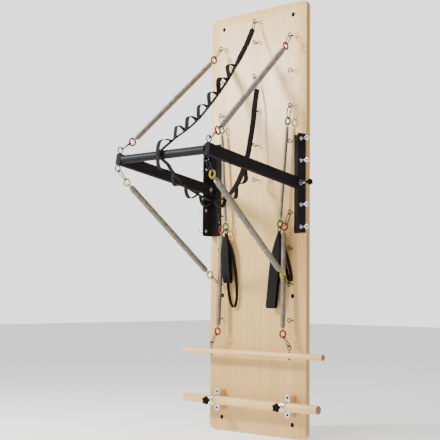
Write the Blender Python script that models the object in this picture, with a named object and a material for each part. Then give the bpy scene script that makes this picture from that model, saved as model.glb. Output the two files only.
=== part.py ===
"""Pilates springboard: a wall board with a push-through bar, extension springs, loop handles,
a roll-down bar, a foot bar and a strap of sewn loops.

Metres, +Z up. X runs across the board and the front faces -Y. The origin is the centre of the
board's back face, which lies on the wall. Most places are worked out as (x, out, height):
out is the distance in front of the board's face, and height is measured from its lower edge.
"""
import math

import bmesh
import bpy
from mathutils import Matrix, Vector

# Board
BOARD_WIDTH = 0.600
BOARD_HEIGHT = 2.000
BOARD_THICKNESS = 0.027
BOARD_CORNER = 0.028
BOARD_EDGE_ROUND = 0.003
WALL_BOLT_COLUMN = 0.219
WALL_BOLT_HEIGHTS = (0.060, 0.641, 1.944)
WALL_BOLT_RADIUS = 0.0045
WALL_BOLT_SINK_RADIUS = 0.0085
WALL_BOLT_SINK_DEPTH = 0.010

# Screw eyes, in rows on the board
EYE_COLUMN = 0.2185
EYE_ROW_LOW = 0.531
EYE_ROW_PITCH = 0.164
EYE_TOP_CENTRE_HEIGHT = 1.944
EYE_RING_OUT = 0.022
EYE_RING_RADIUS = 0.010
EYE_WIRE = 0.002
EYE_THREAD_DEPTH = 0.018

# Angle brackets, one at each side of the board
BRACKET_LENGTH = 0.450
BRACKET_CENTRE_HEIGHT = 1.153
BRACKET_FLANGE = 0.068
BRACKET_FIN = 0.060
BRACKET_THICKNESS = 0.005
BRACKET_BEND = 0.004
BRACKET_CORNER = 0.009
BRACKET_OUTER_FACE = 0.2995
BRACKET_HOLE_OUT = 0.040
BRACKET_HOLE_PITCH = 0.100
SIDE_EYE_REACH = 0.334
SIDE_EYE_RADIUS = 0.0085
SIDE_EYE_WIRE = 0.0022
SIDE_EYE_NUT_RADIUS = 0.009
PIVOT_BUSH_RADIUS = 0.009
PIVOT_BUSH_LENGTH = 0.034

# Push-through bar: two rectangular tubes and a round cross tube
BAR_TILT = math.radians(9.4)
ARM_HEIGHT = 0.050
ARM_WIDTH = 0.030
ARM_CORNER = 0.004
ARM_WALL = 0.0025
ARM_CENTRE = 0.2775
ARM_FRONT = 0.600
ARM_REAR = 0.022
ARM_CAP_DEPTH = 0.006
CROSS_TUBE_REACH = 0.578
CROSS_TUBE_RADIUS = 0.019
CROSS_TUBE_WALL = 0.002
BAR_EYE_REACH = 0.588
BAR_EYE_OFFSET = 0.043
BAR_EYE_RADIUS = 0.0138
BAR_EYE_WIRE = 0.0025
BAR_EYE_ROD = 0.003
BAR_EYE_NUT_RADIUS = 0.007
BAR_EYE_NUT_HEIGHT = 0.003
PIVOT_PIN_RADIUS = 0.005
PIVOT_PIN_HEAD = 0.0085
PIVOT_PIN_TIP = 0.325

# Springs and the snap hooks and coloured rings that hang them
COIL_RADIUS = 0.0125
COIL_TAPER = 0.014
COIL_END_SHARE = 0.5
COIL_END_LOOP_RADIUS = 0.0075
COIL_END_WIRE = 0.0015
HOOK_LENGTH = 0.0577
HANDLE_HOOK_LENGTH = 0.030
STRAP_HOOK_LENGTH = 0.034
HOOK_HALF_WIDTH = 0.0086
HOOK_NARROW_HALF_WIDTH = 0.0065
HOOK_WIRE = 0.002
RING_RADIUS = 0.0145
RING_WIRE = 0.0025
RING_INNER_RADIUS = RING_RADIUS - RING_WIRE

# Roll-down bar, foot bar and the foot bar's holders
ROLL_BAR_RADIUS = 0.014
ROLL_BAR_LENGTH = 0.870
ROLL_BAR_OUT = 0.049
ROLL_BAR_HEIGHT = 0.374
ROLL_EYE_COLUMN = 0.243
ROLL_EYE_RISE = 0.036
FOOT_BAR_RADIUS = 0.020
FOOT_BAR_LENGTH = 0.830
FOOT_BAR_HEIGHT = 0.1455
BLOCK_WIDTH = 0.044
BLOCK_DEPTH = 0.030
BLOCK_HEIGHT = 0.098
BLOCK_CENTRE = 0.219
CLAMP_PLATE_HEIGHT = 0.106
CLAMP_PLATE_THICKNESS = 0.004
CLAMP_COLLAR_WALL = 0.004
CLAMP_COLLAR_WIDTH = 0.024
CLAMP_BOSS_RADIUS = 0.009
CLAMP_BOSS_LENGTH = 0.012
CLAMP_STUD_RADIUS = 0.004
CLAMP_SCREW_RISE = 0.039

# Star knobs
KNOB_LOBES = 5
KNOB_HUB_LENGTH = 0.007
KNOB_GRIP_LENGTH = 0.014
FOOT_KNOB_STUD = 0.021
PIVOT_KNOB_STUD = 0.014
FOOT_KNOB_RADIUS = 0.021
PIVOT_KNOB_RADIUS = 0.017

# Webbing
STRAP_WIDTH = 0.025
STRAP_THICKNESS = 0.003
STRAP_LOOP_BULGE = 0.034
STRAP_TUBE_LOOP_BULGE = 0.045
STRAP_LOOP_STARTS = (3, 4, 5, 6, 7, 8, 17, 18, 19, 20, 21, 22)
STRAP_TUBE_LOOP_TURNS = (62, 45, 28, 11, -6, -23, -40, -57, -74)
HANDLE_THICKNESS = 0.004
HANDLE_NECK_WIDTH = 0.008
HANDLE_BEND = 0.0065

# Each handle's wide loop: its drop, its lean inboard, its belly and its width
WIDE_LOOPS = {"left": (0.235, 0.012, 0.0095, 0.048), "right": (0.350, 0.046, 0.0045, 0.056)}
# Each handle's open loop: its drop, its lean inboard, half its gap and its width
OPEN_LOOPS = {"left": (0.350, 0.030, 0.036, 0.0175), "right": (0.218, 0.002, 0.0205, 0.015)}
OPEN_LOOP_TOP = 0.036

# The strap's two hooks: the height of the eye, the pull across, outwards and up, and the length
STRAP_HOOKS = {
    "strap_top_hook": (EYE_TOP_CENTRE_HEIGHT, (0.0, 0.020, -0.060), STRAP_HOOK_LENGTH),
    "strap_end_hook": (EYE_ROW_LOW + 7 * EYE_ROW_PITCH, (0.016, -0.002, -0.069), HOOK_LENGTH),
}

# Fits: the gap between pieces that touch, the slack of a hook in an eye and in the bar's wider eyes,
# and how far fused shapes sink in
GAP = 0.0003
LINK_SLACK = 0.0011
BAR_LINK_SLACK = 0.0014
STRAP_HOOK_GAP = EYE_RING_RADIUS - EYE_WIRE - HOOK_WIRE - LINK_SLACK
SINK = 0.0004

FOOT_BAR_OUT = GAP + BLOCK_DEPTH + GAP + CLAMP_PLATE_THICKNESS + FOOT_BAR_RADIUS + 0.002
PIVOT = (BRACKET_HOLE_OUT, BRACKET_CENTRE_HEIGHT)
ALONG_X = Vector((1.0, 0.0, 0.0))


def place(x, out, height):
    """A point in the part's frame from its place in front of the board."""
    return Vector((x, -BOARD_THICKNESS - out, height - BOARD_HEIGHT / 2))


def along_bar(x, reach, rise=0.0):
    """A point on the push-through bar: reach along its arms from the pivot, rise square to them."""
    out = PIVOT[0] + reach * math.cos(BAR_TILT) - rise * math.sin(BAR_TILT)
    height = PIVOT[1] + reach * math.sin(BAR_TILT) + rise * math.cos(BAR_TILT)
    return place(x, out, height)


def row_height(row):
    """Height of a row of screw eyes, counted from the lowest row."""
    return EYE_ROW_LOW + EYE_ROW_PITCH * row


# Scene helpers


def clear_scene():
    for item in list(bpy.data.objects):
        bpy.data.objects.remove(item, do_unlink=True)


def make_material(name, colour, roughness, metallic=0.0):
    material = bpy.data.materials.new(name)
    material.use_nodes = True
    shader = material.node_tree.nodes["Principled BSDF"]
    shader.inputs["Base Color"].default_value = (*colour, 1.0)
    shader.inputs["Roughness"].default_value = roughness
    shader.inputs["Metallic"].default_value = metallic
    return material


def make_axis(name, location):
    """An empty on a joint's axis, which carries the pieces that move about it."""
    empty = bpy.data.objects.new(name, None)
    empty.empty_display_size = 0.03
    empty.location = location
    bpy.context.scene.collection.objects.link(empty)
    return empty


def make_object(name, bm, material, axis=None, sharp=math.radians(35)):
    """An object from a bmesh in world places; with an axis its origin is that empty's."""
    if axis is not None:
        bmesh.ops.translate(bm, vec=-axis.location, verts=bm.verts)
    mesh = bpy.data.meshes.new(name)
    bm.to_mesh(mesh)
    bm.free()
    mesh.shade_smooth()
    mesh.set_sharp_from_angle(angle=sharp)
    mesh.materials.append(material)
    item = bpy.data.objects.new(name, mesh)
    if axis is not None:
        item.parent = axis
    bpy.context.scene.collection.objects.link(item)
    return item


def add_boolean(item, bm, operation):
    """Cut or join the bmesh's shape, kept as a hidden wire object."""
    mesh = bpy.data.meshes.new(item.name + "_tool")
    bm.to_mesh(mesh)
    bm.free()
    tool = bpy.data.objects.new(item.name + "_tool", mesh)
    tool.hide_render = True
    tool.display_type = "WIRE"
    bpy.context.scene.collection.objects.link(tool)
    modifier = item.modifiers.new(operation.title(), "BOOLEAN")
    modifier.operation = operation
    modifier.solver = "EXACT"
    modifier.object = tool
    return modifier


# Shape helpers


def join_rings(bm, rings, closed):
    """Skin a list of vertex rings; an end that isn't joined to the start gets a cap."""
    pairs = list(zip(rings, rings[1:]))
    if closed:
        pairs.append((rings[-1], rings[0]))
    for low, high in pairs:
        count = len(low)
        for i in range(count):
            j = (i + 1) % count
            bm.faces.new((low[i], low[j], high[j], high[i]))
    if not closed:
        bm.faces.new(list(reversed(rings[0])))
        bm.faces.new(rings[-1])


def add_wire(bm, path, normal, radii, sides=6, closed=False):
    """A round wire along a path in the plane square to normal; radii is one size or one for each point."""
    if not isinstance(radii, (list, tuple)):
        radii = [radii] * len(path)
    side = Vector(normal).normalized()
    rings = []
    for i, point in enumerate(path):
        before = path[i - 1] if i or closed else point
        after = path[(i + 1) % len(path)] if closed or i + 1 < len(path) else point
        across = (after - before).normalized().cross(side)
        ring = []
        for k in range(sides):
            turn = 2 * math.pi * k / sides
            ring.append(bm.verts.new(point + radii[i] * (math.cos(turn) * side + math.sin(turn) * across)))
        rings.append(ring)
    join_rings(bm, rings, closed)
    bmesh.ops.recalc_face_normals(bm, faces=bm.faces)


def add_band(bm, path, width_along, width, thickness, closed=False):
    """A flat band of webbing along a path; width is one size or one for each point."""
    if not isinstance(width, (list, tuple)):
        width = [width] * len(path)
    wide = Vector(width_along).normalized()
    rings = []
    for i, point in enumerate(path):
        before = path[i - 1] if i or closed else point
        after = path[(i + 1) % len(path)] if closed or i + 1 < len(path) else point
        thin = (after - before).normalized().cross(wide).normalized()
        ring = []
        for a, b in ((1, 1), (-1, 1), (-1, -1), (1, -1)):
            ring.append(bm.verts.new(point + wide * (a * width[i] / 2) + thin * (b * thickness / 2)))
        rings.append(ring)
    join_rings(bm, rings, closed)
    bmesh.ops.recalc_face_normals(bm, faces=bm.faces)


def add_turned(bm, start, axis, profile, sides=16, lobes=None):
    """A turned shape from (distance along the axis, radius) pairs; lobes wave the radius of some."""
    axis = Vector(axis).normalized()
    frame = axis.to_track_quat("Z", "Y").to_matrix()
    rings = []
    for index, (distance, radius) in enumerate(profile):
        ring = []
        for k in range(sides):
            turn = 2 * math.pi * k / sides
            wave = lobes[index] * math.cos(KNOB_LOBES * turn) if lobes else 0.0
            size = radius * (1 + wave)
            offset = Vector((size * math.cos(turn), size * math.sin(turn), distance))
            ring.append(bm.verts.new(start + frame @ offset))
        rings.append(ring)
    join_rings(bm, rings, False)
    bmesh.ops.recalc_face_normals(bm, faces=bm.faces)


def add_bore(bm, start, axis, outer, inner, length, sides=24):
    """A plain tube, open at both ends."""
    axis = Vector(axis).normalized()
    frame = axis.to_track_quat("Z", "Y").to_matrix()
    rings = []
    for distance, radius in ((0, outer), (length, outer), (length, inner), (0, inner)):
        ring = []
        for k in range(sides):
            turn = 2 * math.pi * k / sides
            offset = Vector((radius * math.cos(turn), radius * math.sin(turn), distance))
            ring.append(bm.verts.new(start + frame @ offset))
        rings.append(ring)
    join_rings(bm, rings, True)
    bmesh.ops.recalc_face_normals(bm, faces=bm.faces)


def rounded_rectangle(width, height, radius, steps):
    """Outline points of a rectangle with round corners, centred on the origin."""
    points = []
    corners = ((1, 1, 0), (-1, 1, 90), (-1, -1, 180), (1, -1, 270))
    for sx, sy, first in corners:
        centre_x = sx * (width / 2 - radius)
        centre_y = sy * (height / 2 - radius)
        for k in range(steps + 1):
            turn = math.radians(first + 90 * k / steps)
            points.append((centre_x + radius * math.cos(turn), centre_y + radius * math.sin(turn)))
    return points


def add_prism(bm, outline, origin, axis_u, axis_v, depth):
    """An outline in the plane of two axes, extruded along their cross product."""
    axis_u, axis_v = Vector(axis_u), Vector(axis_v)
    push = axis_u.cross(axis_v).normalized() * depth
    low = [bm.verts.new(origin + axis_u * u + axis_v * v) for u, v in outline]
    high = [bm.verts.new(vert.co + push) for vert in low]
    join_rings(bm, [low, high], False)
    bmesh.ops.recalc_face_normals(bm, faces=bm.faces)


def circle_path(centre, axis_a, axis_b, radius, steps, first=0.0, last=360.0):
    """Points on an arc that starts on axis_a and turns towards axis_b."""
    whole = abs(last - first) >= 360.0
    count = steps if whole else steps + 1
    points = []
    for k in range(count):
        turn = math.radians(first + (last - first) * k / steps)
        points.append(centre + radius * (math.cos(turn) * axis_a + math.sin(turn) * axis_b))
    return points


def smooth_path(points, steps):
    """A smooth curve through the points, with a few steps to each stretch."""
    ends = [points[0]] + list(points) + [points[-1]]
    path = []
    for i in range(1, len(ends) - 2):
        a, b, c, d = ends[i - 1:i + 3]
        for k in range(steps):
            t = k / steps
            pull = (2 * b + (c - a) * t + (2 * a - 5 * b + 4 * c - d) * t ** 2
                    + (3 * b - a - 3 * c + d) * t ** 3)
            path.append(pull * 0.5)
    path.append(Vector(points[-1]))
    return path


# Board and its fixed metalwork


def make_board(material, eye_places, spare_places):
    """The board with its bolt holes; the screw eyes that carry nothing are part of it."""
    outline = rounded_rectangle(BOARD_WIDTH, BOARD_HEIGHT, BOARD_CORNER, 5)
    bm = bmesh.new()
    add_prism(bm, outline, Vector((0, 0, 0)), (1, 0, 0), (0, 0, 1), BOARD_THICKNESS)
    board = make_object("board", bm, material)
    edge = board.modifiers.new("Round edges", "BEVEL")
    edge.width = BOARD_EDGE_ROUND
    edge.segments = 2
    edge.limit_method = "ANGLE"
    edge.angle_limit = math.radians(60)

    holes = bmesh.new()
    profile = (
        (-0.001, WALL_BOLT_SINK_RADIUS),
        (WALL_BOLT_SINK_DEPTH, WALL_BOLT_SINK_RADIUS),
        (WALL_BOLT_SINK_DEPTH, WALL_BOLT_RADIUS),
        (BOARD_THICKNESS + 0.001, WALL_BOLT_RADIUS),
    )
    for side in (-1, 1):
        for height in WALL_BOLT_HEIGHTS:
            add_turned(holes, place(side * WALL_BOLT_COLUMN, 0, height), (0, 1, 0), profile, 14)
    for x, height in eye_places:
        pilot = ((-0.001, EYE_WIRE + GAP), (EYE_THREAD_DEPTH + GAP, EYE_WIRE + GAP))
        add_turned(holes, place(x, 0, height), (0, 1, 0), pilot, 6)
    add_boolean(board, holes, "DIFFERENCE")
    spares = bmesh.new()
    for x, height in spare_places:
        add_screw_eye(spares, x, height, 0.003, 8, 4)
    add_boolean(board, spares, "UNION")
    return board


def add_screw_eye(bm, x, height, depth, steps, sides):
    """One wire: a threaded shank in the board, bent round into a ring in the vertical plane."""
    inward = Vector((0, 1, 0))
    upward = Vector((0, 0, 1))
    centre = place(x, EYE_RING_OUT, height)
    shank = [place(x, -depth, height), place(x, EYE_RING_OUT - EYE_RING_RADIUS - 0.002, height)]
    ring = circle_path(centre, inward, upward, EYE_RING_RADIUS, steps, 8.0, 325.0)
    add_wire(bm, shank + ring, ALONG_X, EYE_WIRE, sides)


def make_screw_eye(name, x, height, material):
    bm = bmesh.new()
    add_screw_eye(bm, x, height, EYE_THREAD_DEPTH, 11, 5)
    return make_object(name, bm, material)


def make_bracket(name, side, material):
    """Steel angle: a flange on the board's face and a fin that stands out at the board's edge."""
    thick, bend = BRACKET_THICKNESS, BRACKET_BEND
    outer_x = BRACKET_OUTER_FACE
    back = GAP
    outline = [(outer_x - BRACKET_FLANGE, back), (outer_x - BRACKET_FLANGE, back + thick)]
    inner = Vector((outer_x - thick - bend, back + thick + bend))
    for k in range(4):
        turn = math.radians(270 + 30 * k)
        outline.append((inner.x + bend * math.cos(turn), inner.y + bend * math.sin(turn)))
    outline += [(outer_x - thick, back + BRACKET_FIN), (outer_x, back + BRACKET_FIN)]
    outer_bend = bend + thick
    for k in range(4):
        turn = math.radians(-30 * k)
        outline.append((inner.x + outer_bend * math.cos(turn), inner.y + outer_bend * math.sin(turn)))
    bm = bmesh.new()
    foot = place(0, 0, BRACKET_CENTRE_HEIGHT - BRACKET_LENGTH / 2)
    add_prism(bm, outline, foot, (side, 0, 0), (0, -1, 0), BRACKET_LENGTH * -side)
    tips = []
    for edge in bm.edges:
        a, b = (vert.co for vert in edge.verts)
        level = abs(a.z - b.z) < 1e-6
        on_flange = max(abs(a.x), abs(b.x)) < outer_x - BRACKET_FLANGE + 1e-5
        on_fin = max(a.y, b.y) < place(0, BRACKET_FIN, 0).y + 1e-5
        if level and (on_flange or on_fin):
            tips.append(edge)
    bmesh.ops.bevel(bm, geom=tips, offset=BRACKET_CORNER, segments=4, profile=0.5, affect="EDGES")
    bracket = make_object(name, bm, material)

    fittings = bmesh.new()
    for k in (-2, -1, 1, 2):
        height = BRACKET_CENTRE_HEIGHT + BRACKET_HOLE_PITCH * k
        add_side_eye_bolt(fittings, side, height)
    bush = ((0, PIVOT_BUSH_RADIUS), (PIVOT_BUSH_LENGTH, PIVOT_BUSH_RADIUS - 0.001))
    add_turned(fittings, place(side * (outer_x - SINK), *PIVOT), (side, 0, 0), bush, 14)
    add_boolean(bracket, fittings, "UNION")
    holes = bmesh.new()
    bore = ((0, PIVOT_PIN_RADIUS + GAP), (0.060, PIVOT_PIN_RADIUS + GAP))
    add_turned(holes, place(side * (outer_x - 0.010), *PIVOT), (side, 0, 0), bore, 14)
    add_boolean(bracket, holes, "DIFFERENCE")
    return bracket


def add_side_eye_bolt(bm, side, height):
    """An eye that stands out sideways from a bracket's fin, with a round nut on both faces."""
    inner_face = BRACKET_OUTER_FACE - BRACKET_THICKNESS
    nut, rod = SIDE_EYE_NUT_RADIUS, SIDE_EYE_WIRE + 0.0006
    stem = [(inner_face - 0.007, rod), (inner_face - 0.005, rod), (inner_face - 0.005, nut),
            (BRACKET_OUTER_FACE + 0.005, nut), (BRACKET_OUTER_FACE + 0.005, rod),
            (SIDE_EYE_REACH - SIDE_EYE_RADIUS - 0.002, SIDE_EYE_WIRE)]
    sideways = Vector((side, 0, 0))
    centre = place(side * SIDE_EYE_REACH, BRACKET_HOLE_OUT, height)
    ring = circle_path(centre, -sideways, Vector((0, 0, 1)), SIDE_EYE_RADIUS, 9, 8, 325)
    path = [place(side * reach, BRACKET_HOLE_OUT, height) for reach, _ in stem] + ring
    radii = [size for _, size in stem] + [SIDE_EYE_WIRE] * len(ring)
    add_stem(bm, path, radii, (0, 1, 0), sideways, 5)


# Star knobs


def make_star_knob(name, start, axis_out, stud, grip_radius, material, axis):
    """A moulded five-lobed knob with its hub and its screw; start is the screw's tip.
    stud is (length, radius) of the screw up to the hub."""
    length, radius = stud
    grip_start = length + KNOB_HUB_LENGTH
    grip_end = grip_start + KNOB_GRIP_LENGTH
    profile = (
        (0, radius * 0.8),
        (0.001, radius),
        (length, radius),
        (length, grip_radius * 0.48),
        (grip_start, grip_radius * 0.52),
        (grip_start, grip_radius * 0.80),
        (grip_start + 0.002, grip_radius * 0.88),
        (grip_end - 0.002, grip_radius * 0.88),
        (grip_end, grip_radius * 0.76),
    )
    lobes = (0, 0, 0, 0, 0, 0.13, 0.13, 0.13, 0.12)
    bm = bmesh.new()
    add_turned(bm, start, axis_out, profile, 20, lobes)
    return make_object(name, bm, material, axis, math.radians(30))


# Push-through bar


def make_arm(name, side, material, axis):
    """A rectangular tube with its pivot pin, open behind the pivot and capped at the front end."""
    upward = along_bar(0, 0, 1) - along_bar(0, 0, 0)
    bm = bmesh.new()
    outline = rounded_rectangle(ARM_WIDTH, ARM_HEIGHT, ARM_CORNER, 3)
    start = along_bar(side * ARM_CENTRE, -ARM_REAR)
    add_prism(bm, outline, start, ALONG_X, upward, ARM_REAR + ARM_FRONT)
    arm = make_object(name, bm, material, axis)

    cuts = bmesh.new()
    bore = rounded_rectangle(ARM_WIDTH - 2 * ARM_WALL, ARM_HEIGHT - 2 * ARM_WALL, ARM_CORNER - ARM_WALL, 2)
    start = along_bar(side * ARM_CENTRE, -ARM_REAR - 0.002)
    add_prism(cuts, bore, start, ALONG_X, upward, ARM_REAR + ARM_FRONT - ARM_CAP_DEPTH + 0.002)
    add_boolean(arm, cuts, "DIFFERENCE")

    pin = bmesh.new()
    head = 0.0056
    head_start = ARM_CENTRE - ARM_WIDTH / 2 - head
    pin_end = PIVOT_PIN_TIP - head_start
    profile = ((0, PIVOT_PIN_HEAD - 0.001), (0.001, PIVOT_PIN_HEAD), (head + SINK, PIVOT_PIN_HEAD),
               (head + SINK, PIVOT_PIN_RADIUS), (pin_end - 0.001, PIVOT_PIN_RADIUS),
               (pin_end, PIVOT_PIN_RADIUS - 0.001))
    add_turned(pin, along_bar(side * head_start, 0), (side, 0, 0), profile, 14)
    bmesh.ops.translate(pin, vec=-axis.location, verts=pin.verts)
    add_boolean(arm, pin, "UNION").object.parent = axis

    holes = bmesh.new()
    rod_hole = ((0, BAR_EYE_ROD + GAP), (ARM_HEIGHT + 0.004, BAR_EYE_ROD + GAP))
    hole_start = along_bar(side * ARM_CENTRE, BAR_EYE_REACH, -ARM_HEIGHT / 2 - 0.002)
    add_turned(holes, hole_start, upward, rod_hole, 12)
    add_boolean(arm, holes, "DIFFERENCE")
    return arm


def make_cross_tube(material, axis):
    half = ARM_CENTRE - ARM_WIDTH / 2 - GAP
    bm = bmesh.new()
    inner = CROSS_TUBE_RADIUS - CROSS_TUBE_WALL
    add_bore(bm, along_bar(-half, CROSS_TUBE_REACH), ALONG_X, CROSS_TUBE_RADIUS, inner, 2 * half)
    return make_object("cross_tube", bm, material, axis)


def make_bar_eye_bolt(name, side, material, axis):
    """A rod through the arm's front end with an eye above and an eye below, and a nut at each face."""
    upward = along_bar(0, 0, 1) - along_bar(0, 0, 0)
    forward = along_bar(0, 1) - along_bar(0, 0)

    def on_rod(rise):
        return along_bar(side * ARM_CENTRE, BAR_EYE_REACH, rise)

    face = ARM_HEIGHT / 2 + GAP
    nut = face + BAR_EYE_NUT_HEIGHT
    neck = BAR_EYE_OFFSET - BAR_EYE_RADIUS - 0.0005
    eye, rod, wide = BAR_EYE_WIRE, BAR_EYE_ROD, BAR_EYE_NUT_RADIUS
    low_ring = circle_path(on_rod(-BAR_EYE_OFFSET), upward, forward, BAR_EYE_RADIUS, 11, -325, -8)
    stem = [(-neck, eye), (-nut, rod), (-nut, wide), (-face, wide), (-face, rod),
            (face, rod), (face, wide), (nut, wide), (nut, rod), (neck, eye)]
    high_ring = circle_path(on_rod(BAR_EYE_OFFSET), -upward, -forward, BAR_EYE_RADIUS, 11, 8, 325)
    path = low_ring + [on_rod(rise) for rise, _ in stem] + high_ring
    radii = [eye] * len(low_ring) + [size for _, size in stem] + [eye] * len(high_ring)
    bm = bmesh.new()
    add_stem(bm, path, radii, ALONG_X, upward)
    return make_object(name, bm, material, axis)


def add_stem(bm, path, radii, normal, stem_axis, sides=6):
    """A wire whose steps in size stay square to its stem: points at one place share the stem's direction."""
    side = Vector(normal).normalized()
    stem_axis = Vector(stem_axis).normalized()
    rings = []
    for i, point in enumerate(path):
        before = path[max(i - 1, 0)]
        after = path[min(i + 1, len(path) - 1)]
        along = after - before
        step = (after - point).length < 1e-7 or (point - before).length < 1e-7
        if step:
            along = stem_axis if along.dot(stem_axis) >= 0 else -stem_axis
        across = along.normalized().cross(side)
        ring = []
        for k in range(sides):
            turn = 2 * math.pi * k / sides
            ring.append(bm.verts.new(point + radii[i] * (math.cos(turn) * side + math.sin(turn) * across)))
        rings.append(ring)
    join_rings(bm, rings, False)
    bmesh.ops.recalc_face_normals(bm, faces=bm.faces)


# Springs


def across_pull(pull, turn):
    """Two directions square to a pull: sideways along X, and frontways, both turned about the pull."""
    sideways = (ALONG_X - pull * ALONG_X.dot(pull)).normalized()
    swing = Matrix.Rotation(turn, 3, pull)
    return swing @ sideways, swing @ pull.cross(sideways)


def add_hook(bm, start, pull, turn, length=HOOK_LENGTH):
    """A snap hook as a closed pear of wire; start is the middle of its first and wider bend."""
    sideways, front = across_pull(pull, turn)
    near = start + pull * HOOK_HALF_WIDTH
    far = start + pull * (length - HOOK_NARROW_HALF_WIDTH)
    path = circle_path(near, sideways, -pull, HOOK_HALF_WIDTH, 6, 0, 180)
    path += circle_path(far, -sideways, pull, HOOK_NARROW_HALF_WIDTH, 6, 0, 180)
    add_wire(bm, path, front, HOOK_WIRE, 4, closed=True)


def make_link(name, hook_start, pulls, material, axis, turns, length=HOOK_LENGTH):
    """A snap hook with a coloured ring on its far end, which touch and are fused. Returns the ring's middle.
    hook_start is the middle of the hook's first bend, pulls are the directions of the hook and
    of the ring from it, and turns swing each about its pull."""
    pull, ring_pull = pulls
    hook_turn, ring_turn = turns
    bm = bmesh.new()
    add_hook(bm, hook_start, pull, hook_turn, length)
    link = make_object(name, bm, material, axis)

    ring_centre = hook_start + pull * length + ring_pull * (RING_INNER_RADIUS - HOOK_WIRE + SINK)
    ring_sideways, ring_front = across_pull(ring_pull, ring_turn)
    ring = bmesh.new()
    path = circle_path(ring_centre, ring_pull, ring_front, RING_RADIUS, 10)
    add_wire(ring, path, ring_sideways, RING_WIRE, 4, closed=True)
    if axis is not None:
        bmesh.ops.translate(ring, vec=-axis.location, verts=ring.verts)
    add_boolean(link, ring, "UNION").object.parent = axis
    return ring_centre


def make_coil(name, start, end, material, axis, turn):
    """A close-wound extension spring as its outer shape, with a wire loop at each end.
    start and end are the middles of the end loops' outermost bends."""
    pull = (end - start).normalized()
    sideways, front = across_pull(pull, turn)
    loop, wire = COIL_END_LOOP_RADIUS, COIL_END_WIRE
    length = (end - start).length
    neck = 2 * loop + 0.002
    body = [(neck, wire), (neck + 0.001, COIL_RADIUS * COIL_END_SHARE), (neck + COIL_TAPER, COIL_RADIUS)]
    first = circle_path(start + pull * loop, pull, sideways, loop, 6, 40, 350)
    stem = body + [(length - distance, size) for distance, size in reversed(body)]
    last = circle_path(end - pull * loop, -pull, -sideways, loop, 6, 10, 320)
    path = first + [start + pull * distance for distance, _ in stem] + last
    radii = [wire] * len(first) + [size for _, size in stem] + [wire] * len(last)
    bm = bmesh.new()
    add_wire(bm, path, front, radii, 8)
    return make_object(name, bm, material, axis)


def hang_spring(name, eyes, gaps, pulls, materials, turns=((0.0, 0.0), 0.0, (0.0, 0.0)),
                last_hook=HOOK_LENGTH):
    """A spring between two eyes: a link, the coil and a link, as three nodes.
    gaps are from the eyes' middles to the bends of the hooks in them. pulls are the directions down
    the spring of the first hook and ring, and of the last hook and ring; turns swing the same four
    about their pulls, with the coil's end loops between them. Returns the axes of the two links."""
    first_pulls = [Vector(pull).normalized() for pull in pulls[0]]
    last_pulls = [-Vector(pull).normalized() for pull in pulls[1]]
    seat = RING_INNER_RADIUS - COIL_END_WIRE - LINK_SLACK
    hooks_metal, coil_metal = materials
    first_bend = eyes[0] + first_pulls[0] * gaps[0]
    upper = make_axis(name + "_upper_axis", first_bend)
    first_ring = make_link(name + "_top_link", first_bend, first_pulls, hooks_metal, upper, turns[0])
    last_bend = eyes[1] + last_pulls[0] * gaps[1]
    lower = make_axis(name + "_lower_axis", last_bend)
    last_ring = make_link(name + "_end_link", last_bend, last_pulls, hooks_metal, lower, turns[2], last_hook)
    line = (last_ring - first_ring).normalized()
    coil_start = first_ring + (first_pulls[1] + line * 2).normalized() * seat
    coil_end = last_ring + (last_pulls[1] - line * 2).normalized() * seat
    make_coil(name + "_coil", coil_start, coil_end, coil_metal, upper, turns[1])
    return upper, lower


def direction(x, out, rise):
    """A direction from its parts across, outwards and upwards."""
    return Vector((x, -out, rise))


def make_bar_springs(materials):
    """Two springs from above and two from below hold the push-through bar."""
    eye_gap = EYE_RING_RADIUS - EYE_WIRE - HOOK_WIRE - LINK_SLACK
    bar_gap = BAR_EYE_RADIUS - BAR_EYE_WIRE - HOOK_WIRE - BAR_LINK_SLACK
    sets = (
        ("upper", row_height(8), 1, -math.radians(55), -math.radians(34)),
        ("lower", row_height(1), -1, math.radians(37), math.radians(52)),
    )
    for label, height, face, first_angle, last_angle in sets:
        for side, hand in ((-1, "left"), (1, "right")):
            eye = place(side * EYE_COLUMN, EYE_RING_OUT, height)
            bar_eye = along_bar(side * ARM_CENTRE, BAR_EYE_REACH, face * BAR_EYE_OFFSET)
            lean = side * 0.13
            pulls = []
            for turn in (first_angle, last_angle):
                pulls.append((direction(lean, math.cos(turn), math.sin(turn)),) * 2)
            hang_spring(f"{label}_{hand}_spring", (eye, bar_eye), (eye_gap, bar_gap), pulls, materials)


def make_arm_springs(materials, webbing):
    """Two springs that hang beside the screw eyes and carry a pair of loop handles each."""
    eye_gap = EYE_RING_RADIUS - EYE_WIRE - HOOK_WIRE - LINK_SLACK
    for side, hand in ((-1, "left"), (1, "right")):
        eye = place(side * EYE_COLUMN, EYE_RING_OUT, row_height(6))
        hanger = place(side * 0.166, 0.032, 0.9297)
        last_pull = direction(-side * 0.12, 0.0, -1.0)
        pulls = ((direction(-side * 0.010, 0.002, -0.0727),) * 2, (last_pull,) * 2)
        upper, lower = hang_spring(f"arm_{hand}_spring", (eye, hanger), (eye_gap, 0.0), pulls, materials,
                                   last_hook=HANDLE_HOOK_LENGTH)
        make_handle(hand, side, hanger - last_pull.normalized() * HANDLE_BEND, webbing, lower)


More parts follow.
